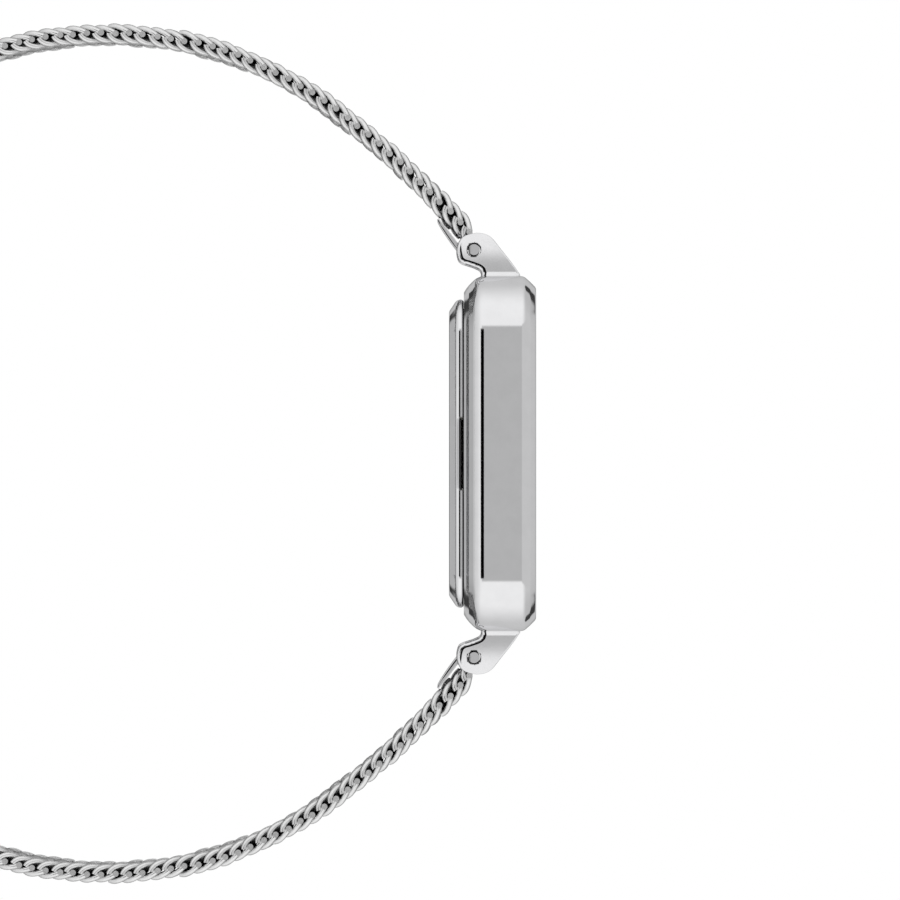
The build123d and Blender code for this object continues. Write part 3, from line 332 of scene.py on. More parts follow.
def brushed_metal(name, base, rough, stretch):
    """Metal with fine lines left by a brush or a lathe, drawn out along one direction."""
    metal = Finish(name, base, rough, 1.0)
    lines = metal.noise(metal.place(stretch), 1000.0, 5.0, 0.65)
    metal.paint(metal.shaded(metal.ramp(lines, 0.25, 0.75), 0.85))
    metal.roughen(lines, 0.2, 0.8, rough * 0.8, rough * 1.25)
    metal.bump(lines, 0.002 * MM)
    return metal.made


def wire_steel(name, base):
    """Drawn steel wire, with painted shade, near black, where the weave is deep."""
    wire = Finish(name, base, 0.2, 1.0, Specular_Tint=(0.4, 0.4, 0.4, 1.0))
    place = wire.place()
    cloud = wire.noise(place, 2500.0)
    worn = wire.shaded(wire.ramp(cloud, 0.3, 0.7), 0.9)
    # Painted shade: the wire is painted near black where the unshaded share is 0, deep in the weave
    wire.paint(wire.mix(wire.unshaded_share(), (0.012, 0.012, 0.013, 1), worn))
    wire.roughen(cloud, 0.25, 0.75, 0.16, 0.27)
    wire.bump(wire.noise(place, 12000.0), 0.003 * MM)
    return wire.made


def glass(name):
    """Clear mineral glass with a trace of haze from wiping."""
    clear = Finish(name, (1, 1, 1), 0.0, Transmission_Weight=1.0, IOR=1.52)
    haze = clear.noise(clear.place(), 700.0)
    clear.roughen(haze, 0.45, 0.8, 0.0, 0.015)
    clear.bump(haze, 0.0002 * MM)
    return clear.made


def rubber(name):
    """Black seal rubber with a matt grain."""
    seal = Finish(name, (0.03, 0.03, 0.03), 0.6)
    grain = seal.noise(seal.place(), 6000.0)
    seal.paint(seal.mix(grain, (0.02, 0.02, 0.02, 1), (0.05, 0.05, 0.05, 1)))
    seal.bump(grain, 0.01 * MM)
    return seal.made


def sunray_dial(name, base):
    """Silvered dial whose fine lines run out from the middle."""
    dial = Finish(name, base, 0.38, 0.55)
    x, y, _ = dial.split(dial.out("ShaderNodeTexCoord", output="Object"))
    angle = dial.math("ARCTAN2", y, x)
    ray = dial.noise(dial.vector(angle * 60.0, 0.0, 0.0), 3.0, 4.0, 0.7)
    dial.paint(dial.shaded(dial.ramp(ray, 0.3, 0.7), 0.93))
    dial.roughen(ray, 0.3, 0.7, 0.3, 0.45)
    dial.bump(ray, 0.004 * MM)
    return dial.made


def moulded_plastic(name, base, rough=0.45):
    """Moulded plastic with a fine grain."""
    plastic = Finish(name, base, rough)
    grain = plastic.noise(plastic.place(), 5000.0)
    plastic.paint(plastic.shaded(plastic.ramp(grain, 0.3, 0.7), 0.92))
    plastic.roughen(grain, 0.3, 0.7, rough * 0.85, rough * 1.15)
    plastic.bump(grain, 0.006 * MM)
    return plastic.made


def copper_winding(name, base):
    """Turns of enamelled copper wire side by side across the coil."""
    copper = Finish(name, base, 0.3, 1.0, Coat_Weight=0.5)
    place = copper.out("ShaderNodeTexCoord", output="Object")
    turns = copper.out("ShaderNodeTexWave", {"Vector": place, "Scale": 2600.0, "Distortion": 0.4,
                                             "Detail": 1.0}, "Fac", bands_direction="X")
    copper.paint(copper.shaded(turns, 0.35))
    copper.bump(turns, 0.02 * MM)
    return copper.made


def green_board(name, base):
    """Laminate with solder mask and the weave of its glass cloth."""
    board = Finish(name, base, 0.35)
    weave = board.out("ShaderNodeTexBrick", {"Vector": board.place(), "Scale": 900.0, "Mortar Size": 0.03},
                      "Fac", offset=0.5)
    board.paint(board.mix(weave, rgba(base), rgba(base, 1.5)))
    board.bump(weave, 0.008 * MM)
    return board.made


def make_finishes():
    """Every finish by the record's slot name."""
    finish = bpy.context.scene.watch_finish
    turned = (1.0, 1.0, 14.0)
    return {
        "polished_steel": polished_steel("polished_steel", finish.steel[:]),
        "woven_steel": wire_steel("woven_steel", finish.wire[:]),
        "plain_steel": brushed_metal("plain_steel", finish.plain[:], 0.28, turned),
        "mineral_glass": glass("mineral_glass"),
        "seal_rubber": rubber("seal_rubber"),
        "dial_white": sunray_dial("dial_white", finish.dial[:]),
        "movement_brass": brushed_metal("movement_brass", finish.brass[:], 0.3, (1.0, 9.0, 9.0)),
        "holder_plastic": moulded_plastic("holder_plastic", finish.holder[:]),
        "copper_winding": copper_winding("copper_winding", finish.copper[:]),
        "board_green": green_board("board_green", finish.board[:]),
        "chip_black": moulded_plastic("chip_black", (0.02, 0.02, 0.02), 0.25),
    }


FINISHES = {}


def finish_of(slot_name):
    if not FINISHES:
        FINISHES.update(make_finishes())
    return FINISHES[slot_name]


# Meshes

SAME_PLACE, A_HAIR = 0.001 * MM, 0.01 * MM
LEAST_CORNER = 0.3 * MM
# Angles in degrees: what counts as a crisp edge, as flat, and as an edge to be rounded
CRISP, CRISP_WIRE, CRISP_FLUTE = 35.0, 75.0, 50.0
FLAT, ROUNDED_FROM = 0.5, 32.0


def placed(name, data):
    """A new object in the scene; a bmesh becomes its mesh."""
    if isinstance(data, bmesh.types.BMesh):
        mesh = bpy.data.meshes.new(name)
        data.to_mesh(mesh)
        data.free()
        data = mesh
    made = bpy.data.objects.new(name, data)
    bpy.context.scene.collection.objects.link(made)
    return made


def piece_of(name, bm, slot_name, sharp=CRISP):
    """Turns a bmesh into a shown object with its finish and crisp edges."""
    made = placed(name, bm)
    mesh = made.data
    mesh.materials.append(finish_of(slot_name))
    mesh.shade_smooth()
    mesh.set_sharp_from_angle(angle=radians(sharp))
    return made


def settled(made):
    """Applies an object's modifiers into one plain mesh."""
    bpy.context.view_layer.update()
    graph = bpy.context.evaluated_depsgraph_get()
    mesh = bpy.data.meshes.new_from_object(made.evaluated_get(graph))
    made.modifiers.clear()
    old = made.data
    made.data = mesh
    bpy.data.meshes.remove(old)
    mesh.name = made.name


def finished(made, body, node):
    """Keeps wide faces flat in reflections beside their rounded edges, and puts the object on its body."""
    modifier = made.modifiers.new("Even normals", "WEIGHTED_NORMAL")
    modifier.weight = 100
    modifier.keep_sharp = True
    settled(made)
    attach(made, body)
    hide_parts(node)


def turned_over(made):
    """Mirrors a 12 o'clock mesh to the 6 o'clock side."""
    made.data.transform(Matrix.Scale(-1, 4, (0, 1, 0)))
    made.data.flip_normals()


def sliced(bm, place, normal, dist=0.0):
    """Cuts every face along a plane."""
    bmesh.ops.bisect_plane(bm, geom=bm.verts[:] + bm.edges[:] + bm.faces[:], dist=dist,
                           plane_co=place, plane_no=normal)


def square_loop(half, corner, steps):
    """Points of a rounded square seen from the dial, anticlockwise."""
    points = []
    for quarter in range(4):
        turn = quarter * pi / 2
        middle = Vector((half - corner, half - corner))
        middle.rotate(Matrix.Rotation(turn, 2))
        for step in range(steps + 1):
            angle = turn + step / steps * pi / 2
            points.append((middle.x + corner * cos(angle), middle.y + corner * sin(angle)))
    return points


def rounded_line(points, steps=8):
    """A closed outline of (x, y, radius) corners with each corner rounded."""
    made = []
    count = len(points)
    for index, (x, y, radius) in enumerate(points):
        here = Vector((x, y))
        if not radius:
            made.append(here)
            continue
        before = (Vector(points[index - 1][:2]) - here).normalized()
        after = (Vector(points[(index + 1) % count][:2]) - here).normalized()
        half = before.angle(after) / 2
        centre = here + (before + after).normalized() * radius / sin(half)
        first = here + before * radius / tan(half) - centre
        last = here + after * radius / tan(half) - centre
        sweep = first.angle_signed(last)
        for step in range(steps + 1):
            turned = first.copy()
            turned.rotate(Matrix.Rotation(-sweep * step / steps, 2))
            made.append(centre + turned)
    return made


def skinned(bm, rings, closed=False):
    """Joins rings of vertices with faces, and the last ring to the first if closed."""
    for first, second in zip(rings, rings[1:] + rings[:int(closed)]):
        for index in range(len(first)):
            following = (index + 1) % len(first)
            bm.faces.new((first[index], first[following], second[following], second[index]))


def edged_levels(low, high, low_edge, high_edge, steps):
    """(x, inset) pairs from low to high x that round both ends of a prism."""
    angles = [step / steps * pi / 2 for step in range(steps + 1)]
    quarter = [(1 - cos(angle), 1 - sin(angle)) for angle in angles]
    return ([(low + low_edge * sink, low_edge * inset) for sink, inset in quarter]
            + [(high - high_edge * sink, high_edge * inset) for sink, inset in reversed(quarter)])


def ringed_solid(*solids):
    """Closed meshes, each through its rings of points with one face at each end."""
    bm = bmesh.new()
    for rings in solids:
        made = [[bm.verts.new(point) for point in ring] for ring in rings]
        skinned(bm, made)
        bm.faces.new(made[0])
        bm.faces.new(made[-1])
    bmesh.ops.recalc_face_normals(bm, faces=bm.faces)
    return bm


def swept_square(profile, outer_half, outer_corner, steps):
    """Sweeps a closed profile of (inset, height) round the rounded square."""
    bm = bmesh.new()
    rings = []
    for inset, height in profile:
        corner = max(outer_corner - inset, LEAST_CORNER)
        ring = square_loop(outer_half - inset, corner, steps)
        rings.append([bm.verts.new((x, y, height)) for x, y in ring])
    skinned(bm, rings, closed=True)
    bmesh.ops.remove_doubles(bm, verts=bm.verts, dist=SAME_PLACE)
    bmesh.ops.recalc_face_normals(bm, faces=bm.faces)
    return bm


def softened(node, body, slot_name, edge, steps=2):
    """Rounds the sharp edges of a copy of a CAD node, which stands for the node."""
    bm = bmesh.new()
    bm.from_mesh(frame["nodes"][node].data)
    bmesh.ops.remove_doubles(bm, verts=bm.verts, dist=SAME_PLACE / 2)
    bmesh.ops.dissolve_limit(bm, angle_limit=radians(FLAT), verts=bm.verts, edges=bm.edges)
    made = piece_of(node + "_finished", bm, slot_name)
    modifier = made.modifiers.new("Edges", "BEVEL")
    modifier.width = edge * MM
    modifier.segments = steps
    modifier.limit_method = "ANGLE"
    modifier.angle_limit = radians(ROUNDED_FROM)
    modifier.use_clamp_overlap = True
    finished(made, body, node)


# The band's middle line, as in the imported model: a side view of arcs, then a straight run.
# Lengths are in millimetres and turns in degrees.
ARC_LENGTHS = [16.0, 13.0, 13.0, 12.0, 12.0, 4.2]
ARC_TURNS = [19.7, 23.0, 26.9, 32.0, 32.0]
FIRST_HEADING = 125.0
HINGES = [17.0, 33.0, 48.0, 63.0]


def polar(distance, direction, start):
    angle = radians(direction)
    return (start[0] + distance * cos(angle), start[1] + distance * sin(angle))


def band_route():
    turns = ARC_TURNS + [270 - FIRST_HEADING - sum(ARC_TURNS)]
    place, heading, route = (PIN_Z, PIN_Y), FIRST_HEADING, []
    for length, turn in zip(ARC_LENGTHS, turns):
        route.append((place, heading, length, turn))
        radius = length / radians(turn)
        centre = polar(radius, heading + 90, place)
        heading += turn
        place = polar(radius, heading - 90, centre)
    route.append((place, heading, place[1], 0))
    return route


ROUTE = band_route()
BAND_LENGTH = sum(part[2] for part in ROUTE)


def band_point(distance, offset=0.0):
    """The place in metres and the heading at a distance along the middle line."""
    left = distance
    for place, heading, length, turn in ROUTE:
        if left <= length or turn == 0:
            break
        left -= length
    if turn:
        radius = length / radians(turn)
        centre = polar(radius, heading + 90, place)
        heading += degrees(left / radius)
        z, y = polar(radius + offset, heading - 90, centre)
    else:
        z, y = polar(offset, heading - 90, polar(left, heading, place))
    return Vector((0, y * MM, z * MM)), heading


def heading_vector(heading):
    return Vector((0, sin(radians(heading)), cos(radians(heading))))


# Woven coils. Lengths are in millimetres. An edge wire's points are (along the band towards
# the case in coil pitches, height in half thicknesses, depth in wire radii).
WOVEN_START = 1.8
WOVEN_END_GAPS = {12: 1.9, 6: 5.2}
COIL_MARGIN = 1.3
# Painted shade: the weave is painted dark below the first height and left bright above the second
PAINTED_SHADE_LEVEL, UNSHADED_LEVEL = 0.3, 0.6
# Points on the band are found this far before and past each hinge
BEND_REACH = 4.5
CLIMB_HEIGHT, CLIMB_LENGTH = 0.34, 3.0
WAVE_HEIGHT, WAVE_START, WAVE_LENGTH = 0.07, 8.0, 22.0
# The most that a coil is turned out of line about each axis, in radians
TILT = (0.025, 0.012, 0.012)
EDGE_WIRE_POINTS, EDGE_WIRE_SIDES = 9, 8
# The cut end of an edge wire is a stub, in wire radii
STUB_SIDES, STUB_RADIUS, STUB_LENGTH = 12, 1.06, 2.0
OUTER_WIRE = [(-1.02, 0.60, 2.2), (-0.62, 1.0, 1.2), (-0.05, 0.55, 0.0), (0.41, 0.10, 0.0)]
INNER_WIRE = [(-0.09, 0.10, 0.0), (0.09, -0.62, 0.0), (0.62, -0.98, 0.2), (1.25, -0.80, 2.2)]


def geometry_tree(name, **inputs):
    """A geometry tree, its maker, and what its named inputs give."""
    tree = bpy.data.node_groups.new(name, "GeometryNodeTree")
    for kind, names in {"Geometry": ["Geometry"], **inputs, "Material": ["Material"]}.items():
        for item in names:
            tree.interface.new_socket(item, in_out="INPUT", socket_type="NodeSocket" + kind)
    tree.interface.new_socket("Geometry", in_out="OUTPUT", socket_type="NodeSocketGeometry")
    maker = Maker(tree)
    return tree, maker, maker.outs("NodeGroupInput")


def end_tree(maker, laid, material, smooth):
    """Ends a geometry tree: its instances become one mesh with its material."""
    made = maker.out("GeometryNodeRealizeInstances", {"Geometry": laid})
    if smooth:
        made = maker.out("GeometryNodeSetShadeSmooth", {"Geometry": made})
    made = maker.out("GeometryNodeSetMaterial", {"Geometry": made, "Material": material})
    maker.node("NodeGroupOutput", {"Geometry": made})


def coil_tree():
    """A tree that lays one leaning coil and its edge wires on every point."""
    tree, maker, given = geometry_tree(
        "Woven coils", Int=["Turn Points", "Wire Sides", "Seed"],
        Float=["Wire Radius", "Turn Pitch", "Coil Width", "Reach", "Rise", "Lean", "Edge Height",
               "Band Half Width", "Coil Pitch"])
    wire = given["Wire Radius"]

    def tube(curve, sides):
        ring = maker.out("GeometryNodeCurvePrimitiveCircle", {"Resolution": sides, "Radius": wire})
        return maker.out("GeometryNodeCurveToMesh", {"Curve": curve, "Profile Curve": ring,
                                                     "Fill Caps": True})

    # Stores the share that is free of painted shade: 0 where shade is painted, 1 where none is
    def store_shade_mask(mesh, value):
        return maker.out("GeometryNodeStoreNamedAttribute",
                         {"Geometry": mesh, "Name": "open", "Value": value},
                         data_type="FLOAT", domain="POINT")

    def moved(mesh, place, turn=(0.0, 0.0, 0.0)):
        return maker.out("GeometryNodeTransform", {"Geometry": mesh, "Translation": place,
                                                   "Rotation": turn})

    def spot(x, shares):
        along, up, _ = shares
        return maker.vector(x, given["Edge Height"] * up, given["Coil Pitch"] * along)

    # The coil, whose length along the band is z towards the case and whose height is y
    index = maker.out("GeometryNodeInputIndex")
    total = maker.math("ROUND", given["Coil Width"] / given["Turn Pitch"]) * given["Turn Points"]
    angle = index * (2 * pi) / given["Turn Points"]
    along = maker.math("COSINE", angle) * given["Reach"]
    height = along * given["Lean"] + maker.math("SINE", angle) * given["Rise"]
    side = (index / total - 0.5) * given["Coil Width"]
    line = maker.out("GeometryNodeCurvePrimitiveLine")
    line = maker.out("GeometryNodeResampleCurve", {"Curve": line, "Count": total + 1.0})
    line = maker.out("GeometryNodeSetPosition", {"Geometry": line,
                                                 "Position": maker.vector(side, height, along * -1.0)})
    # Painted shade: the coil's wire is painted dark near the band's middle plane, deep in the weave
    level = abs(maker.split(maker.out("GeometryNodeInputPosition"))[1])
    pieces = [store_shade_mask(tube(line, given["Wire Sides"]),
                     maker.ramp(level, PAINTED_SHADE_LEVEL * MM, UNSHADED_LEVEL * MM))]

    # Edge wires: one comes down over the outer face to a stub that is cut off sideways,
    # and one starts at a cut end in the middle and tucks in under the inner face
    for edge in (-1, 1):
        place = (given["Band Half Width"] - wire) * edge
        for shares in (OUTER_WIRE, INNER_WIRE):
            points = [spot(wire * (-edge * share[2]), share) for share in shares]
            names = ("Start", "Start Handle", "End Handle", "End")
            line = maker.out("GeometryNodeCurvePrimitiveBezierSegment",
                             {"Resolution": EDGE_WIRE_POINTS, **dict(zip(names, points))}, mode="POSITION")
            tubed = tube(line, EDGE_WIRE_SIDES)
            pieces.append(store_shade_mask(moved(tubed, maker.vector(place, 0.0, 0.0)), 1.0))
        stub = maker.out("GeometryNodeMeshCylinder", {"Vertices": STUB_SIDES, "Depth": wire * STUB_LENGTH,
                                                      "Radius": wire * STUB_RADIUS})
        pieces.append(store_shade_mask(moved(stub, spot(place, OUTER_WIRE[-1]), (0.0, pi / 2, 0.0)), 1.0))
    link = maker.node("GeometryNodeJoinGeometry")
    for piece in reversed(pieces):
        maker.feed(link.inputs[0], piece)

    heading = maker.out("GeometryNodeInputNamedAttribute", {"Name": "toward_case"},
                        data_type="FLOAT_VECTOR")
    turn = maker.out("FunctionNodeAxesToRotation", {0: heading, 1: (1.0, 0.0, 0.0)},
                     primary_axis="Z", secondary_axis="X")
    laid = maker.out("GeometryNodeInstanceOnPoints", {"Points": given["Geometry"], "Rotation": turn,
                                                      "Instance": Number(maker, link.outputs[0])})
    tilt = maker.out("FunctionNodeRandomValue", {0: [-most for most in TILT], 1: TILT,
                                                 "Seed": given["Seed"]}, data_type="FLOAT_VECTOR")
    laid = maker.out("GeometryNodeRotateInstances", {"Instances": laid, "Rotation": tilt,
                                                     "Local Space": True})
    end_tree(maker, laid, given["Material"], smooth=True)
    return tree


def grown(name, mesh, tree, values):
    """Runs a geometry tree on a mesh with inputs set by their names, and keeps the result as a plain mesh."""
    made = placed(name, mesh)
    modifier = made.modifiers.new(tree.name, "NODES")
    modifier.node_group = tree
    for item in tree.interface.items_tree:
        if item.in_out == "INPUT" and item.name in values:
            modifier[item.identifier] = values[item.name]
    settled(made)
    return made


def woven_stretch(name, tree, distances, values, mirrored):
    """The coils at the given distances along the band as one plain mesh."""
    mesh = bpy.data.meshes.new(name + "_points")
    places = [band_point(distance, woven_shift(distance)) for distance in distances]
    mesh.from_pydata([place for place, _ in places], [], [])
    toward = mesh.attributes.new("toward_case", "FLOAT_VECTOR", "POINT")
    for item, (_, heading) in zip(toward.data, places):
        item.vector = -heading_vector(heading)
    made = grown(name, mesh, tree, values)
    made.data.set_sharp_from_angle(angle=radians(CRISP_WIRE))
    if mirrored:
        turned_over(made)
    return made


def woven_shift(distance):
    """How far the coils lie outside the middle line: they climb over the sleeve, then wave a little."""
    climb = CLIMB_HEIGHT * exp((WOVEN_START - distance) / CLIMB_LENGTH)
    return climb - WAVE_HEIGHT * sin((distance - WAVE_START) / WAVE_LENGTH * 2 * pi)


class WATCH_OT_mesh_band(bpy.types.Operator):
    """Weave both halves of the mesh band from wire coils"""
    bl_idname = "watch.mesh_band"
    bl_label = "Mesh band"

    def execute(self, context):
        band = context.scene.watch_band
        tree = coil_tree()
        values = {
            "Wire Radius": band.wire, "Turn Pitch": band.turn_pitch, "Reach": band.reach,
            "Coil Width": 2 * BAND_HALF_WIDTH - COIL_MARGIN * MM, "Rise": band.rise,
            "Lean": band.lean, "Edge Height": band.edge_height, "Band Half Width": BAND_HALF_WIDTH,
            "Coil Pitch": band.coil_pitch, "Turn Points": band.turn_points,
            "Wire Sides": band.wire_sides, "Seed": band.seed, "Material": finish_of("woven_steel"),
        }
        pitch = band.coil_pitch / MM
        borders = [0.0] + [(a + b) / 2 for a, b in zip(HINGES, HINGES[1:])] + [BAND_LENGTH]
        for hour, side in ((12, 1), (6, -1)):
            marks = []
            distance = WOVEN_START
            while distance < BAND_LENGTH - WOVEN_END_GAPS[hour]:
                marks.append(distance)
                distance += pitch
            for count, (low, high) in enumerate(zip(borders, borders[1:]), start=1):
                inside = [mark for mark in marks if low <= mark < high]
                made = woven_stretch(f"woven_{hour}_{count}", tree, inside, values, side < 0)
                hinge = HINGES[count - 1]
                start, _ = band_point(hinge - BEND_REACH)
                stop, _ = band_point(hinge + BEND_REACH)
                turn = Vector((1, side, 1))
                f"strap_{hour}_{count + 1}"
                start * turn
                stop * turn
                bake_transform(made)
                nodes = [f"mesh_{hour}_{count}"]
                if count == len(HINGES):
                    nodes.append(f"mesh_{hour}_{count + 1}")
                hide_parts(*nodes)
        return {"FINISHED"}


# Case. Each point of the flatter back edge is (share of the bevel's width, share of the edge's height).
BACK_EDGE = [(0.77, 0.46), (0.56, 1.0)]
BACK_SIDE_ROUND, FRONT_SIDE_ROUND = 1.28, 0.6
SEAT_INSET, FLANGE_INSET, CAVITY_INSET = 1.76 * MM, 2.7 * MM, 2.0 * MM
GASKET_HEIGHT, GASKET_INSET = 0.45 * MM, 1.8 * MM


class WATCH_OT_case_middle(bpy.types.Operator):
    """Make the case middle with its polished bevels"""
    bl_idname = "watch.case_middle"
    bl_label = "Case middle"

    def execute(self, context):
        case = context.scene.watch_case
        low, high = case.back_level, case.front_level
        seat_z, flange_z, gasket_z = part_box("crystal")[0].z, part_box("dial")[1].z, low + GASKET_HEIGHT
        side, face = case.side_edge, case.face_edge

        def bulged(inset, height, far_inset, far_height):
            """The middle of a bevel, which bulges a little."""
            run, rise = far_inset - inset, far_height - height
            away = case.bevel_bulge / sqrt(run ** 2 + rise ** 2)
            return ((inset + far_inset) / 2 - abs(rise) * away,
                    (height + far_height) / 2 + run * away * (1 if rise > 0 else -1), side * 2)

        back = [(case.back_bevel_run * run, low + case.back_step * rise) for run, rise in BACK_EDGE]
        profile = [
            (GASKET_INSET, low, 0), (case.back_bevel_run, low, face * 0.1),
            (*back[0], face * 0.4), (*back[1], face * 0.4),
            bulged(*back[1], 0, low + case.back_bevel_rise),
            (0, low + case.back_bevel_rise, side * BACK_SIDE_ROUND),
            (0, high - case.front_bevel_rise, side * FRONT_SIDE_ROUND),
            bulged(0, high - case.front_bevel_rise, case.front_bevel_run, high),
            (case.front_bevel_run, high, face), (SEAT_INSET, high, face * 0.2),
            (SEAT_INSET, seat_z, 0), (FLANGE_INSET, seat_z, 0), (FLANGE_INSET, flange_z, 0),
            (CAVITY_INSET, flange_z, 0), (CAVITY_INSET, gasket_z, 0), (GASKET_INSET, gasket_z, 0),
        ]
        body = swept_square(rounded_line(profile), -CASE_LOW.x, case.corner, case.corner_steps)
        finished(piece_of("case_body", body, "polished_steel"), "case", "case_middle")
        return {"FINISHED"}


# The side view of a 12 o'clock lug as (y, z) in millimetres, from the front of the case round its tip
LUG_LINE = [
    (14.11, 5.615), (14.74, 5.19), (15.32, 4.76), (16.08, 4.15), (16.97, 3.44), (17.30, 2.94),
    (17.42, 2.38), (17.40, 1.98), (17.22, 1.32), (16.94, 0.92), (16.49, 0.67), (15.94, 0.58),
    (15.30, 0.72), (15.02, 1.02), (14.85, 1.53), (14.67, 2.03), (14.49, 2.38), (14.26, 2.53),
    (13.96, 2.49),
]
LUG_FOOT = [(13.2, 2.49), (13.2, 5.615)]
LUG_SPACING, FOOT_SPACING = 0.13 * MM, 0.2 * MM
SLICE, DRILL_LENGTH = 0.15 * MM, 4 * MM
EDGE_STEPS = 5
# The rounded edge is widest where it faces this way, and at least the least share of that elsewhere
EDGE_FACING = Vector((-0.55, -0.83))
EDGE_LEAST = 0.3
# The groove deepens where the edge is wider than the start share. Its rings are
# (distance beyond the edge in millimetres, share of the groove's depth).
GROOVE_START, GROOVE_FADE = 0.62, 0.2
GROOVE_DEPTH = 0.04 * MM
GROOVE_RINGS = [(0.02, 1), (0.12, 1), (0.17, 0)]


def through(points, spacing):
    """Points evenly spaced along a smooth curve through the given ones."""
    made = []
    for index in range(len(points) - 1):
        before = points[max(index - 1, 0)]
        first, second = points[index], points[index + 1]
        after = points[min(index + 2, len(points) - 1)]
        steps = max(1, round((second - first).length / spacing))
        for step in range(steps):
            t = step / steps
            made.append(0.5 * (2 * first + (second - before) * t
                               + (2 * before - 5 * first + 4 * second - after) * t ** 2
                               + (3 * first - before - 3 * second + after) * t ** 3))
    return made + [points[-1]]


def inward(points):
    """Unit vectors pointing into a closed outline that runs clockwise."""
    count = len(points)
    made = []
    for index in range(count):
        run = points[(index + 1) % count] - points[index - 1]
        made.append(Vector((run.y, -run.x)).normalized())
    return made


def bored(made, radius, depth, place):
    """Drills a hole along x at the given place through a mesh."""
    bm = bmesh.new()
    bmesh.ops.create_cone(bm, cap_ends=True, segments=64, radius1=radius, radius2=radius, depth=depth,
                          matrix=Matrix.Translation(place) @ Matrix.Rotation(pi / 2, 4, "Y"))
    drill = placed("Drill", bm)
    modifier = made.modifiers.new("Hole", "BOOLEAN")
    modifier.operation = "DIFFERENCE"
    modifier.solver = "EXACT"
    modifier.object = drill
    settled(made)
    bpy.data.objects.remove(drill)


class WATCH_OT_lugs(bpy.types.Operator):
    """Make the four lugs with their polished edges and drilled holes"""
    bl_idname = "watch.lugs"
    bl_label = "Lugs"

    def execute(self, context):
        case = context.scene.watch_case
        # This steel has painted shade, near black, in the lugs' grooves
        satin = polished_steel("satin_steel", context.scene.watch_finish.steel[:], 0.13, grooved_and_shaded=True)
        line = through([Vector(point) * MM for point in LUG_LINE], LUG_SPACING)
        foot = [Vector(point) * MM for point in LUG_FOOT]
        outline = (line + through([line[-1]] + foot, FOOT_SPACING)[1:]
                   + through([foot[-1], line[0]], FOOT_SPACING)[1:-1])
        pull = inward(outline)
        width = [EDGE_LEAST + (1 - EDGE_LEAST) * max(-way.dot(EDGE_FACING), 0) for way in pull]
        middle, edge = (case.lug_low + case.lug_high) / 2, case.lug_edge
        rings = []
        for x, inset in edged_levels(case.lug_low, case.lug_high, edge / 2, edge, EDGE_STEPS):
            face = case.lug_high if x > middle else case.lug_low
            rings.append([(face + (x - face) * share, *(point + way * inset * share))
                          for point, way, share in zip(outline, pull, width)])
        # A fine groove runs beside the wide part of the edge, and shade is painted into it
        grooved_and_shaded = [min(max((share - GROOVE_START) / GROOVE_FADE, 0), 1) for share in width]
        for start, sunk in GROOVE_RINGS:
            ring = []
            for point, way, share, deep in zip(outline, pull, width, grooved_and_shaded):
                inset = edge * share + start * MM * (EDGE_LEAST + (1 - EDGE_LEAST) * deep)
                ring.append((case.lug_high - GROOVE_DEPTH * sunk * deep, *(point + way * inset)))
            rings.append(ring)
        for name, turn in (("lug_12_9", (-1, 1)), ("lug_12_3", (1, 1)),
                           ("lug_6_9", (-1, -1)), ("lug_6_3", (1, -1))):
            bm = ringed_solid(rings)
            bm.verts.ensure_lookup_table()
            unshaded_layer = bm.verts.layers.float.new("open")
            # Painted shade: the groove's sunk rings are marked to be painted near black
            for index, vert in enumerate(bm.verts):
                ring, place = divmod(index, len(outline))
                sunk = len(rings) - 4 < ring < len(rings) - 1
                vert[unshaded_layer] = 1 - grooved_and_shaded[place] * sunk
            # Slices let the wide faces bend
            (foot_y, _), (_, top_z) = LUG_FOOT
            for normal, start, stop in ((Vector((0, 1, 0)), foot_y * MM, CASE_HIGH.y),
                                        (Vector((0, 0, 1)), CASE_LOW.z, top_z * MM)):
                for number in range(1, int((stop - start) / SLICE)):
                    sliced(bm, normal * (start + number * SLICE), normal)
            for vert in bm.verts:
                reach = max(vert.co.y - CASE_HALF, 0)
                share = (vert.co.x - case.lug_low) / (case.lug_high - case.lug_low)
                vert.co.x -= share * (case.lug_slope * reach + case.lug_dome * reach ** 2)
                near_case = min(max(1 - (vert.co.y - CASE_HALF) / case.lug_flare, 0), 1)
                vert.co.x += share * case.lug_flare * near_case ** 2
            bmesh.ops.transform(bm, matrix=Matrix.Diagonal((*turn, 1, 1)), verts=bm.verts)
            bmesh.ops.recalc_face_normals(bm, faces=bm.faces)
            made = piece_of(name, bm, "polished_steel")
            made.data.materials[0] = satin
            place = Vector((turn[0] * middle, turn[1] * case.pin_y, case.pin_z))
            bored(made, case.lug_hole / 2, DRILL_LENGTH, place)
            finished(made, "case", "case_middle")
        return {"FINISHED"}


class WATCH_OT_pin_ends(bpy.types.Operator):
    """Make the turned ends of the spring bars"""
    bl_idname = "watch.pin_ends"
    bl_label = "Spring bar ends"

    def execute(self, context):
        case = context.scene.watch_case
        dome_steps, steps = 8, 48
        line = [(case.pin_inner, case.pin_radius)]
        for step in range(dome_steps, 0, -1):
            share = step / dome_steps
            line.append(Vector((case.pin_outer - case.pin_dome * share ** 2, case.pin_radius * share)))
        angles = [step / steps * 2 * pi for step in range(steps)]
        ends = []
        for side_x, side_y in ((-1, -1), (-1, 1), (1, -1), (1, 1)):
            ends.append([[(side_x * x, side_y * case.pin_y + reach * cos(angle),
                           case.pin_z + reach * sin(angle)) for angle in angles] for x, reach in line])
        made = piece_of("spring_bar_ends", ringed_solid(*ends), "polished_steel")
        finished(made, "case", "spring_bar_tips")
        return {"FINISHED"}


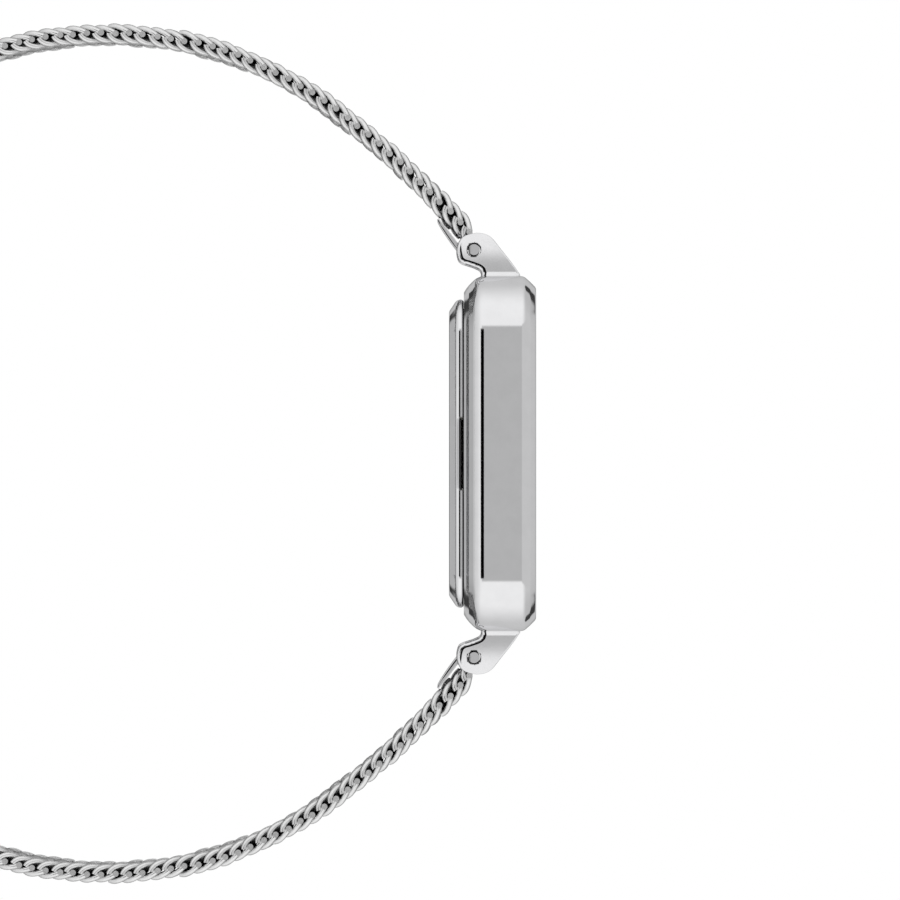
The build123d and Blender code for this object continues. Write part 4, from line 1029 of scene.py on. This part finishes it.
# Caseback, in insets from its rim and heights above its face
BACK_MIDDLE = 9.0 * MM
BACK_FACE_INSET, BACK_FACE_ROUND, BACK_BEVEL_HEIGHT = 0.95 * MM, 0.4 * MM, 0.63 * MM
BACK_RIM_HEIGHT, BACK_PLATE_HEIGHT = 1.15 * MM, 0.7 * MM
BACK_WALL_INSET, BACK_WALL, BACK_WALL_ROUND = 1.0 * MM, 0.6 * MM, 0.1 * MM
NOTCH_FLOOR = 0.5 * MM
NOTCH_END = 0.93


class WATCH_OT_caseback(bpy.types.Operator):
    """Make the caseback with its rounded rim and its notch"""
    bl_idname = "watch.caseback"
    bl_label = "Caseback"

    def execute(self, context):
        case = context.scene.watch_case
        low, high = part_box("caseback")
        outer, wall_inner = high.x, BACK_WALL_INSET + BACK_WALL
        profile = [
            (BACK_MIDDLE, low.z, 0), (BACK_FACE_INSET, low.z, BACK_FACE_ROUND),
            (0, BACK_BEVEL_HEIGHT, case.rim_round), (0, BACK_RIM_HEIGHT, case.rim_round * 0.4),
            (BACK_WALL_INSET, BACK_RIM_HEIGHT, 0), (BACK_WALL_INSET, high.z, BACK_WALL_ROUND),
            (wall_inner, high.z, BACK_WALL_ROUND), (wall_inner, BACK_PLATE_HEIGHT, 0),
            (BACK_MIDDLE, BACK_PLATE_HEIGHT, 0),
        ]
        corner = case.corner - (CASE_HIGH.x - outer)
        bm = swept_square(rounded_line(profile), outer, corner, case.corner_steps)
        # The plate is closed in the middle
        inner = outer - BACK_MIDDLE + A_HAIR
        within = [face for face in bm.faces
                  if all(abs(vert.co.x) < inner and abs(vert.co.y) < inner for vert in face.verts)]
        bmesh.ops.delete(bm, geom=within, context="FACES")
        bmesh.ops.holes_fill(bm, edges=[edge for edge in bm.edges if edge.is_boundary])
        # A notch for a case opener slopes in at the 9 o'clock side
        half, height = case.notch_width / 2, BACK_RIM_HEIGHT - NOTCH_FLOOR
        for share in (-1, -NOTCH_END, NOTCH_END, 1):
            sliced(bm, (0, half * share, 0), (0, 1, 0), SAME_PLACE)
        for vert in bm.verts:
            x, y, z = vert.co
            if (abs(y) < half * (NOTCH_END + 0.02) and x < BACK_WALL - outer
                    and NOTCH_FLOOR < z < BACK_RIM_HEIGHT + A_HAIR):
                vert.co.x = max(x, case.notch_depth * (z - NOTCH_FLOOR) / height - outer)
        bmesh.ops.recalc_face_normals(bm, faces=bm.faces)
        finished(piece_of("caseback_finished", bm, "polished_steel"), "case", "caseback")
        return {"FINISHED"}


class WATCH_OT_crystal(bpy.types.Operator):
    """Round the edges of the glass"""
    bl_idname = "watch.crystal"
    bl_label = "Crystal"

    def execute(self, context):
        softened("crystal", "case", "mineral_glass", 0.15)
        return {"FINISHED"}


class WATCH_OT_crown(bpy.types.Operator):
    """Make the fluted crown with its domed end"""
    bl_idname = "watch.crown"
    bl_label = "Crown"

    def execute(self, context):
        crown = context.scene.watch_crown
        low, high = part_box("crown")
        height, radius = (low.z + high.z) / 2, high.y
        start, end = low.x, high.x
        rim_steps, flute_points = 6, 12
        # Rings of (x, radius, share of the flute's depth), from the pocket's floor round to the outer end
        line = [
            (start + crown.pocket_depth, crown.pocket_radius, 0), (start, crown.pocket_radius, 0),
            (start, radius - crown.edge, 0), (start + crown.edge * 0.4, radius - crown.edge * 0.3, 0.6),
            (start + crown.edge, radius, 1), (end - crown.dome - crown.edge, radius, 1),
        ]
        for step in range(1, rim_steps + 1):
            angle = step / rim_steps * pi / 2
            line.append((end - crown.dome - crown.edge * (1 - sin(angle)),
                         radius - crown.edge * (1 - cos(angle)), cos(angle)))
        rim = radius - crown.edge
        line += [(end - crown.dome * share ** 2, rim * share, 0) for share in (0.8, 0.6, 0.4, 0.2)]
        points = crown.flutes * flute_points
        half_flute = crown.flute_depth / radius
        rings = []
        for x, reach, share in line:
            ring = []
            for index in range(points):
                angle = index / points * 2 * pi
                away = abs((angle * crown.flutes / (2 * pi) + 0.5) % 1 - 0.5) * 2 * pi / crown.flutes
                sunk = sqrt(max(1 - (away / half_flute) ** 2, 0)) * crown.flute_depth * share
                ring.append((x, (reach - sunk) * cos(angle), height + (reach - sunk) * sin(angle)))
            rings.append(ring)
        made = piece_of("crown_finished", ringed_solid(rings), "polished_steel", CRISP_FLUTE)
        finished(made, "crown_set", "crown")
        return {"FINISHED"}


def rounded_prism(name, outline, low, high, edge, steps=4):
    """Carries a closed (y, z) outline that runs clockwise from low to high x, with rounded edges."""
    pull = inward(outline)
    rings = [[(x, *(point + way * inset)) for point, way in zip(outline, pull)]
             for x, inset in edged_levels(low, high, edge, edge, steps)]
    return piece_of(name, ringed_solid(rings), "polished_steel")


def turned_sleeve(name, radius, bore, half_length, edge, slot_name, steps=48):
    """A tube along x round the spring bar."""
    bm = bmesh.new()
    line = rounded_line([(-half_length, bore, 0), (-half_length, radius, edge),
                         (half_length, radius, edge), (half_length, bore, 0)])
    rings = []
    for step in range(steps):
        angle = step / steps * 2 * pi
        rings.append([bm.verts.new((x, PIN_Y * MM + reach * cos(angle), PIN_Z * MM + reach * sin(angle)))
                      for x, reach in line])
    skinned(bm, rings, closed=True)
    bmesh.ops.recalc_face_normals(bm, faces=bm.faces)
    return piece_of(name, bm, slot_name)


# Band ends, in millimetres: the leaf starts a little way from the spring bar, under the mesh
LEAF_START, LEAF_GAP, LEAF_TIP, LEAF_EDGE = 0.4, 0.03, 0.14, 0.06
LEAF_FULLEST = 0.3
SLEEVE_RADIUS, SLEEVE_BORE, SLEEVE_EDGE = 1.15, 0.8, 0.12


class WATCH_OT_band_ends(bpy.types.Operator):
    """Make the folded band ends: a sleeve round the spring bar and a curved leaf under the mesh"""
    bl_idname = "watch.band_ends"
    bl_label = "Band ends"

    def execute(self, context):
        band = context.scene.watch_band
        low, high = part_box("band_end_12")
        near_side = -(band.edge_height / MM + LEAF_GAP)
        length, bulge = band.leaf_length / MM, band.leaf_bulge / MM
        count = 24
        inner, outer = [], []
        for step in range(count + 1):
            share = step / count
            distance = LEAF_START + share * (length - LEAF_START)
            swell = sqrt(max(sin(pi * (LEAF_FULLEST + (1 - LEAF_FULLEST) * share)), 0))
            depth = LEAF_TIP + (bulge - LEAF_TIP) * swell
            inner.append(band_point(distance, near_side)[0].yz)
            outer.append(band_point(distance, near_side - depth)[0].yz)
        outline = inner + outer[::-1]
        for hour in (12, 6):
            leaf = rounded_prism(f"leaf_{hour}", outline, low.x, high.x, LEAF_EDGE * MM)
            sleeve = turned_sleeve(f"sleeve_{hour}", SLEEVE_RADIUS * MM, SLEEVE_BORE * MM, high.x,
                                   SLEEVE_EDGE * MM, "polished_steel")
            for made in (leaf, sleeve):
                if hour == 6:
                    turned_over(made)
                finished(made, f"strap_{hour}_1", f"band_end_{hour}")
        return {"FINISHED"}


class WATCH_OT_clasp(bpy.types.Operator):
    """Round the edges of the clasp's box, lid, plug and end cap"""
    bl_idname = "watch.clasp"
    bl_label = "Clasp"

    def execute(self, context):
        softened("clasp_box", "strap_6_5", "polished_steel", 0.14, 3)
        softened("clasp_lever", "clasp_lever_lid", "polished_steel", 0.1)
        softened("clasp_end_cap", "strap_12_5", "polished_steel", 0.14, 3)
        softened("clasp_tongue", "strap_12_5", "plain_steel", 0.06)
        softened("clasp_lever_pin", "strap_6_5", "plain_steel", 0.05)
        return {"FINISHED"}


def track_tree():
    """A tree that lays flat marks round a square, one for every minute."""
    tree, maker, given = geometry_tree("Minute track", Int=["Marks"],
                                       Float=["Track", "Length", "Width", "Thickness", "Level"])
    turn = maker.out("GeometryNodeInputIndex") / given["Marks"] * (2 * pi)
    across, up = maker.math("SINE", turn), maker.math("COSINE", turn)
    reach = given["Track"] / maker.math("MAXIMUM", abs(across), abs(up))
    points = maker.out("GeometryNodeSetPosition", {
        "Geometry": maker.out("GeometryNodeMeshLine", {"Count": given["Marks"]}),
        "Position": maker.vector(across * reach, up * reach, given["Level"])})
    mark = maker.out("GeometryNodeMeshCube",
                     {"Size": maker.vector(given["Width"], given["Length"], given["Thickness"])})
    laid = maker.out("GeometryNodeInstanceOnPoints", {"Points": points, "Instance": mark,
                                                      "Rotation": maker.vector(0.0, 0.0, turn * -1.0)})
    end_tree(maker, laid, given["Material"], smooth=False)
    return tree


class WATCH_OT_minute_track(bpy.types.Operator):
    """Print the minute track on the dial"""
    bl_idname = "watch.minute_track"
    bl_label = "Minute track"

    def execute(self, context):
        dial = context.scene.watch_dial
        print_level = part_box("dial")[1].z + dial.print_thickness * 0.3
        made = grown("minute_track", bpy.data.meshes.new("minute_track"), track_tree(), {
            "Marks": 60, "Track": dial.track, "Length": dial.mark_length, "Width": dial.mark_width,
            "Thickness": dial.print_thickness, "Level": print_level, "Material": finish_of("chip_black")})
        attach(made, "case")
        return {"FINISHED"}


class WATCH_OT_dial(bpy.types.Operator):
    """Round the edges of the dial, its markers and the hands"""
    bl_idname = "watch.dial"
    bl_label = "Dial and hands"

    def execute(self, context):
        softened("dial", "case", "dial_white", 0.02)
        softened("rehaut_ring", "case", "dial_white", 0.04)
        softened("hour_markers", "case", "polished_steel", 0.04)
        softened("hour_hand", "hour_hand_set", "polished_steel", 0.03)
        softened("minute_hand", "minute_hand_set", "polished_steel", 0.03)
        softened("seconds_hand", "seconds_hand_set", "polished_steel", 0.02)
        return {"FINISHED"}


FLOOR_GAP = 0.05 * MM
# The camera's sensor in millimetres, and the nearest and farthest that it sees in metres
SENSOR, CLIP = 36.0, (0.01, 20.0)
# Each soft lamp's place and width in metres
LAMPS = [((-0.5, 0.45, 0.5), 0.5), ((0.5, -0.35, 0.6), 0.5)]


class WATCH_OT_stage(bpy.types.Operator):
    """Set the camera, the pale floor and the soft light"""
    bl_idname = "watch.stage"
    bl_label = "Studio"

    def execute(self, context):
        scene, studio = context.scene, context.scene.watch_studio
        scene.view_settings.view_transform = "Standard"
        lens = bpy.data.cameras.new("Camera")
        lens.sensor_width = SENSOR
        lens.lens = SENSOR * studio.distance / studio.view_width
        lens.clip_start, lens.clip_end = CLIP
        camera = placed("Camera", lens)
        # The camera looks along +X from the 9 o'clock side, with the dial to the right
        turn = Matrix(((0, 0, -1), (0, 1, 0), (1, 0, 0)))
        place = Vector((-studio.distance, studio.view_height, studio.view_depth))
        camera.matrix_world = Matrix.Translation(place) @ turn.to_4x4()
        scene.camera = camera

        bm = bmesh.new()
        bmesh.ops.create_grid(bm, x_segments=2, y_segments=2, size=studio.floor_size / 2)
        bmesh.ops.translate(bm, verts=bm.verts, vec=(0, 0, FLOOR_LEVEL - FLOOR_GAP))
        floor = placed("Floor", bm)
        pale = Finish("studio_floor", studio.floor_colour[:], 0.8)
        pale.roughen(pale.noise(pale.place(), 40.0), 0.3, 0.7, 0.75, 0.85)
        floor.data.materials.append(pale.made)
        floor.visible_glossy = False
        self.light_room(scene, studio)
        for number, (place, width) in enumerate(LAMPS, start=1):
            lamp = bpy.data.lights.new(f"Soft lamp {number}", "AREA")
            lamp.shape = "DISK"
            lamp.size = width
            lamp.energy = studio.lamp_power
            holder = placed(f"Soft lamp {number}", lamp)
            holder.location = place
            holder.rotation_euler = (-Vector(place)).to_track_quat("-Z", "Y").to_euler()
            holder.visible_glossy = False
            holder.visible_transmission = False
        return {"FINISHED"}

    def light_room(self, scene, studio):
        """A white room whose lights, cards and dark gaps show only in reflections.

        A direction's parts x, y and z run from -1 to 1, and x is negative on the camera's side.
        """
        world = bpy.data.worlds.new("Studio")
        world.use_nodes = True
        scene.world = world
        world.node_tree.nodes.clear()
        maker = Maker(world.node_tree)
        ramp = maker.ramp
        x, y, z = maker.split(maker.out("ShaderNodeTexCoord", output="Generated"))
        wide, tall = abs(y), abs(z)
        card_level, front_level, gap_level = 0.53, 0.64, 0.05

        def near(value, middle, flat, soft):
            """1 within flat of the middle, falling to 0 over soft."""
            return ramp(abs(value - middle), flat, flat + soft, 1.0, 0.0)

        def painted(level, shade, share, *shares):
            """Fades a level to a shade by the product of the shares."""
            for other in shares:
                share = share * other
            return level + share * (shade - level)

        # The room is brightest on the camera's side, softer above and below, dim behind the watch
        level = ramp(x, -0.5, 0.5, 1.0, 0.68) * ramp(tall, 0.3, 1.0, 1.0, 0.75)
        level = level * ramp(x, 0.5, 0.97, 1.0, 1.15)
        # Grey cards face the two sides of the case
        level = painted(level, card_level, near(wide, 0.0, 0.2, 0.1), near(tall, 0.0, 0.25, 0.2),
                        ramp(abs(x), 0.5, 0.8))
        # Dark strips lie below the card, low behind the watch and under it
        level = painted(level, 0.0, near(wide, 0.0, 0.12, 0.06), near(z, -0.29, 0.17, 0.05),
                        ramp(x, -0.2, -0.5))
        level = painted(level, gap_level, near(wide, 0.0, 0.3, 0.08), near(z, -0.72, 0.1, 0.08),
                        ramp(x, 0.5, 0.6))
        level = painted(level, gap_level, near(wide, 0.0, 0.3, 0.08), near(z, -0.97, 0.04, 0.02),
                        near(x, 0.24, 0.06, 0.03))
        # The light from below is softer on the far side
        below = ramp(x, -0.25, 0.15) * ramp(z, -0.8, -0.9) * ramp(x, 0.36, 0.3)
        level = level * ramp(below, 0.0, 1.0, 1.0, 0.7)
        # So is the light over the front
        level = painted(level, front_level, near(wide, 0.0, 0.25, 0.1), ramp(z, 0.15, 0.35),
                        ramp(x, 0.1, -0.1))
        # Dark gaps lie between the lights at the corners of the room
        slant = wide + tall * 0.8
        level = painted(level, gap_level, near(slant, 1.0, 0.07, 0.04), near(tall, 0.7, 0.18, 0.06),
                        ramp(x, 0.15, 0.3), ramp(wide, 0.26, 0.33))
        rays = maker.outs("ShaderNodeLightPath")
        seen = maker.math("MAXIMUM", rays["Is Camera Ray"], rays["Is Transmission Ray"])
        level = level + seen * (1.0 - level)
        crisp = maker.math("MAXIMUM", seen, rays["Is Glossy Ray"])
        strength = crisp * level + (1.0 - crisp) * studio.ambient
        back = maker.out("ShaderNodeBackground", {"Color": (1, 1, 1, 1), "Strength": strength})
        maker.node("ShaderNodeOutputWorld", {"Surface": back})


class WATCH_OT_finishes(bpy.types.Operator):
    """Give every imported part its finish"""
    bl_idname = "watch.finishes"
    bl_label = "Finishes"

    def execute(self, context):
        slots = {part["node"]: part["material_slot"] for part in frame["record"]["subparts"]}
        for node, made in frame["nodes"].items():
            made.data.materials.clear()
            made.data.materials.append(finish_of(slots[node]))
        return {"FINISHED"}


class WATCH_PT_panel(bpy.types.Panel):
    """Lists the steps that build the watch"""
    bl_label = "Square mesh watch"
    bl_idname = "WATCH_PT_panel"
    bl_space_type = "VIEW_3D"
    bl_region_type = "UI"
    bl_category = "Watch"

    def draw(self, context):
        for step in STEPS:
            self.layout.operator(step.bl_idname)


SETTINGS = {"watch_studio": WatchStudio, "watch_case": WatchCase, "watch_band": WatchBand,
            "watch_crown": WatchCrown, "watch_dial": WatchDial, "watch_finish": WatchFinish}
STEPS = [
    WATCH_OT_stage, WATCH_OT_finishes, WATCH_OT_case_middle, WATCH_OT_lugs, WATCH_OT_pin_ends,
    WATCH_OT_caseback, WATCH_OT_crystal, WATCH_OT_crown, WATCH_OT_band_ends, WATCH_OT_clasp,
    WATCH_OT_dial, WATCH_OT_minute_track, WATCH_OT_mesh_band,
]


def register():
    for group in SETTINGS.values():
        bpy.utils.register_class(group)
    for name, group in SETTINGS.items():
        setattr(bpy.types.Scene, name, PointerProperty(type=group))
    for step in STEPS + [WATCH_PT_panel]:
        bpy.utils.register_class(step)


def unregister():
    for step in reversed(STEPS + [WATCH_PT_panel]):
        bpy.utils.unregister_class(step)
    for name in SETTINGS:
        delattr(bpy.types.Scene, name)
    for group in reversed(list(SETTINGS.values())):
        bpy.utils.unregister_class(group)


def main():
    register()
    for step in STEPS:
        group, name = step.bl_idname.split(".")
        getattr(getattr(bpy.ops, group), name)()


if __name__ == "__main__":
    main()
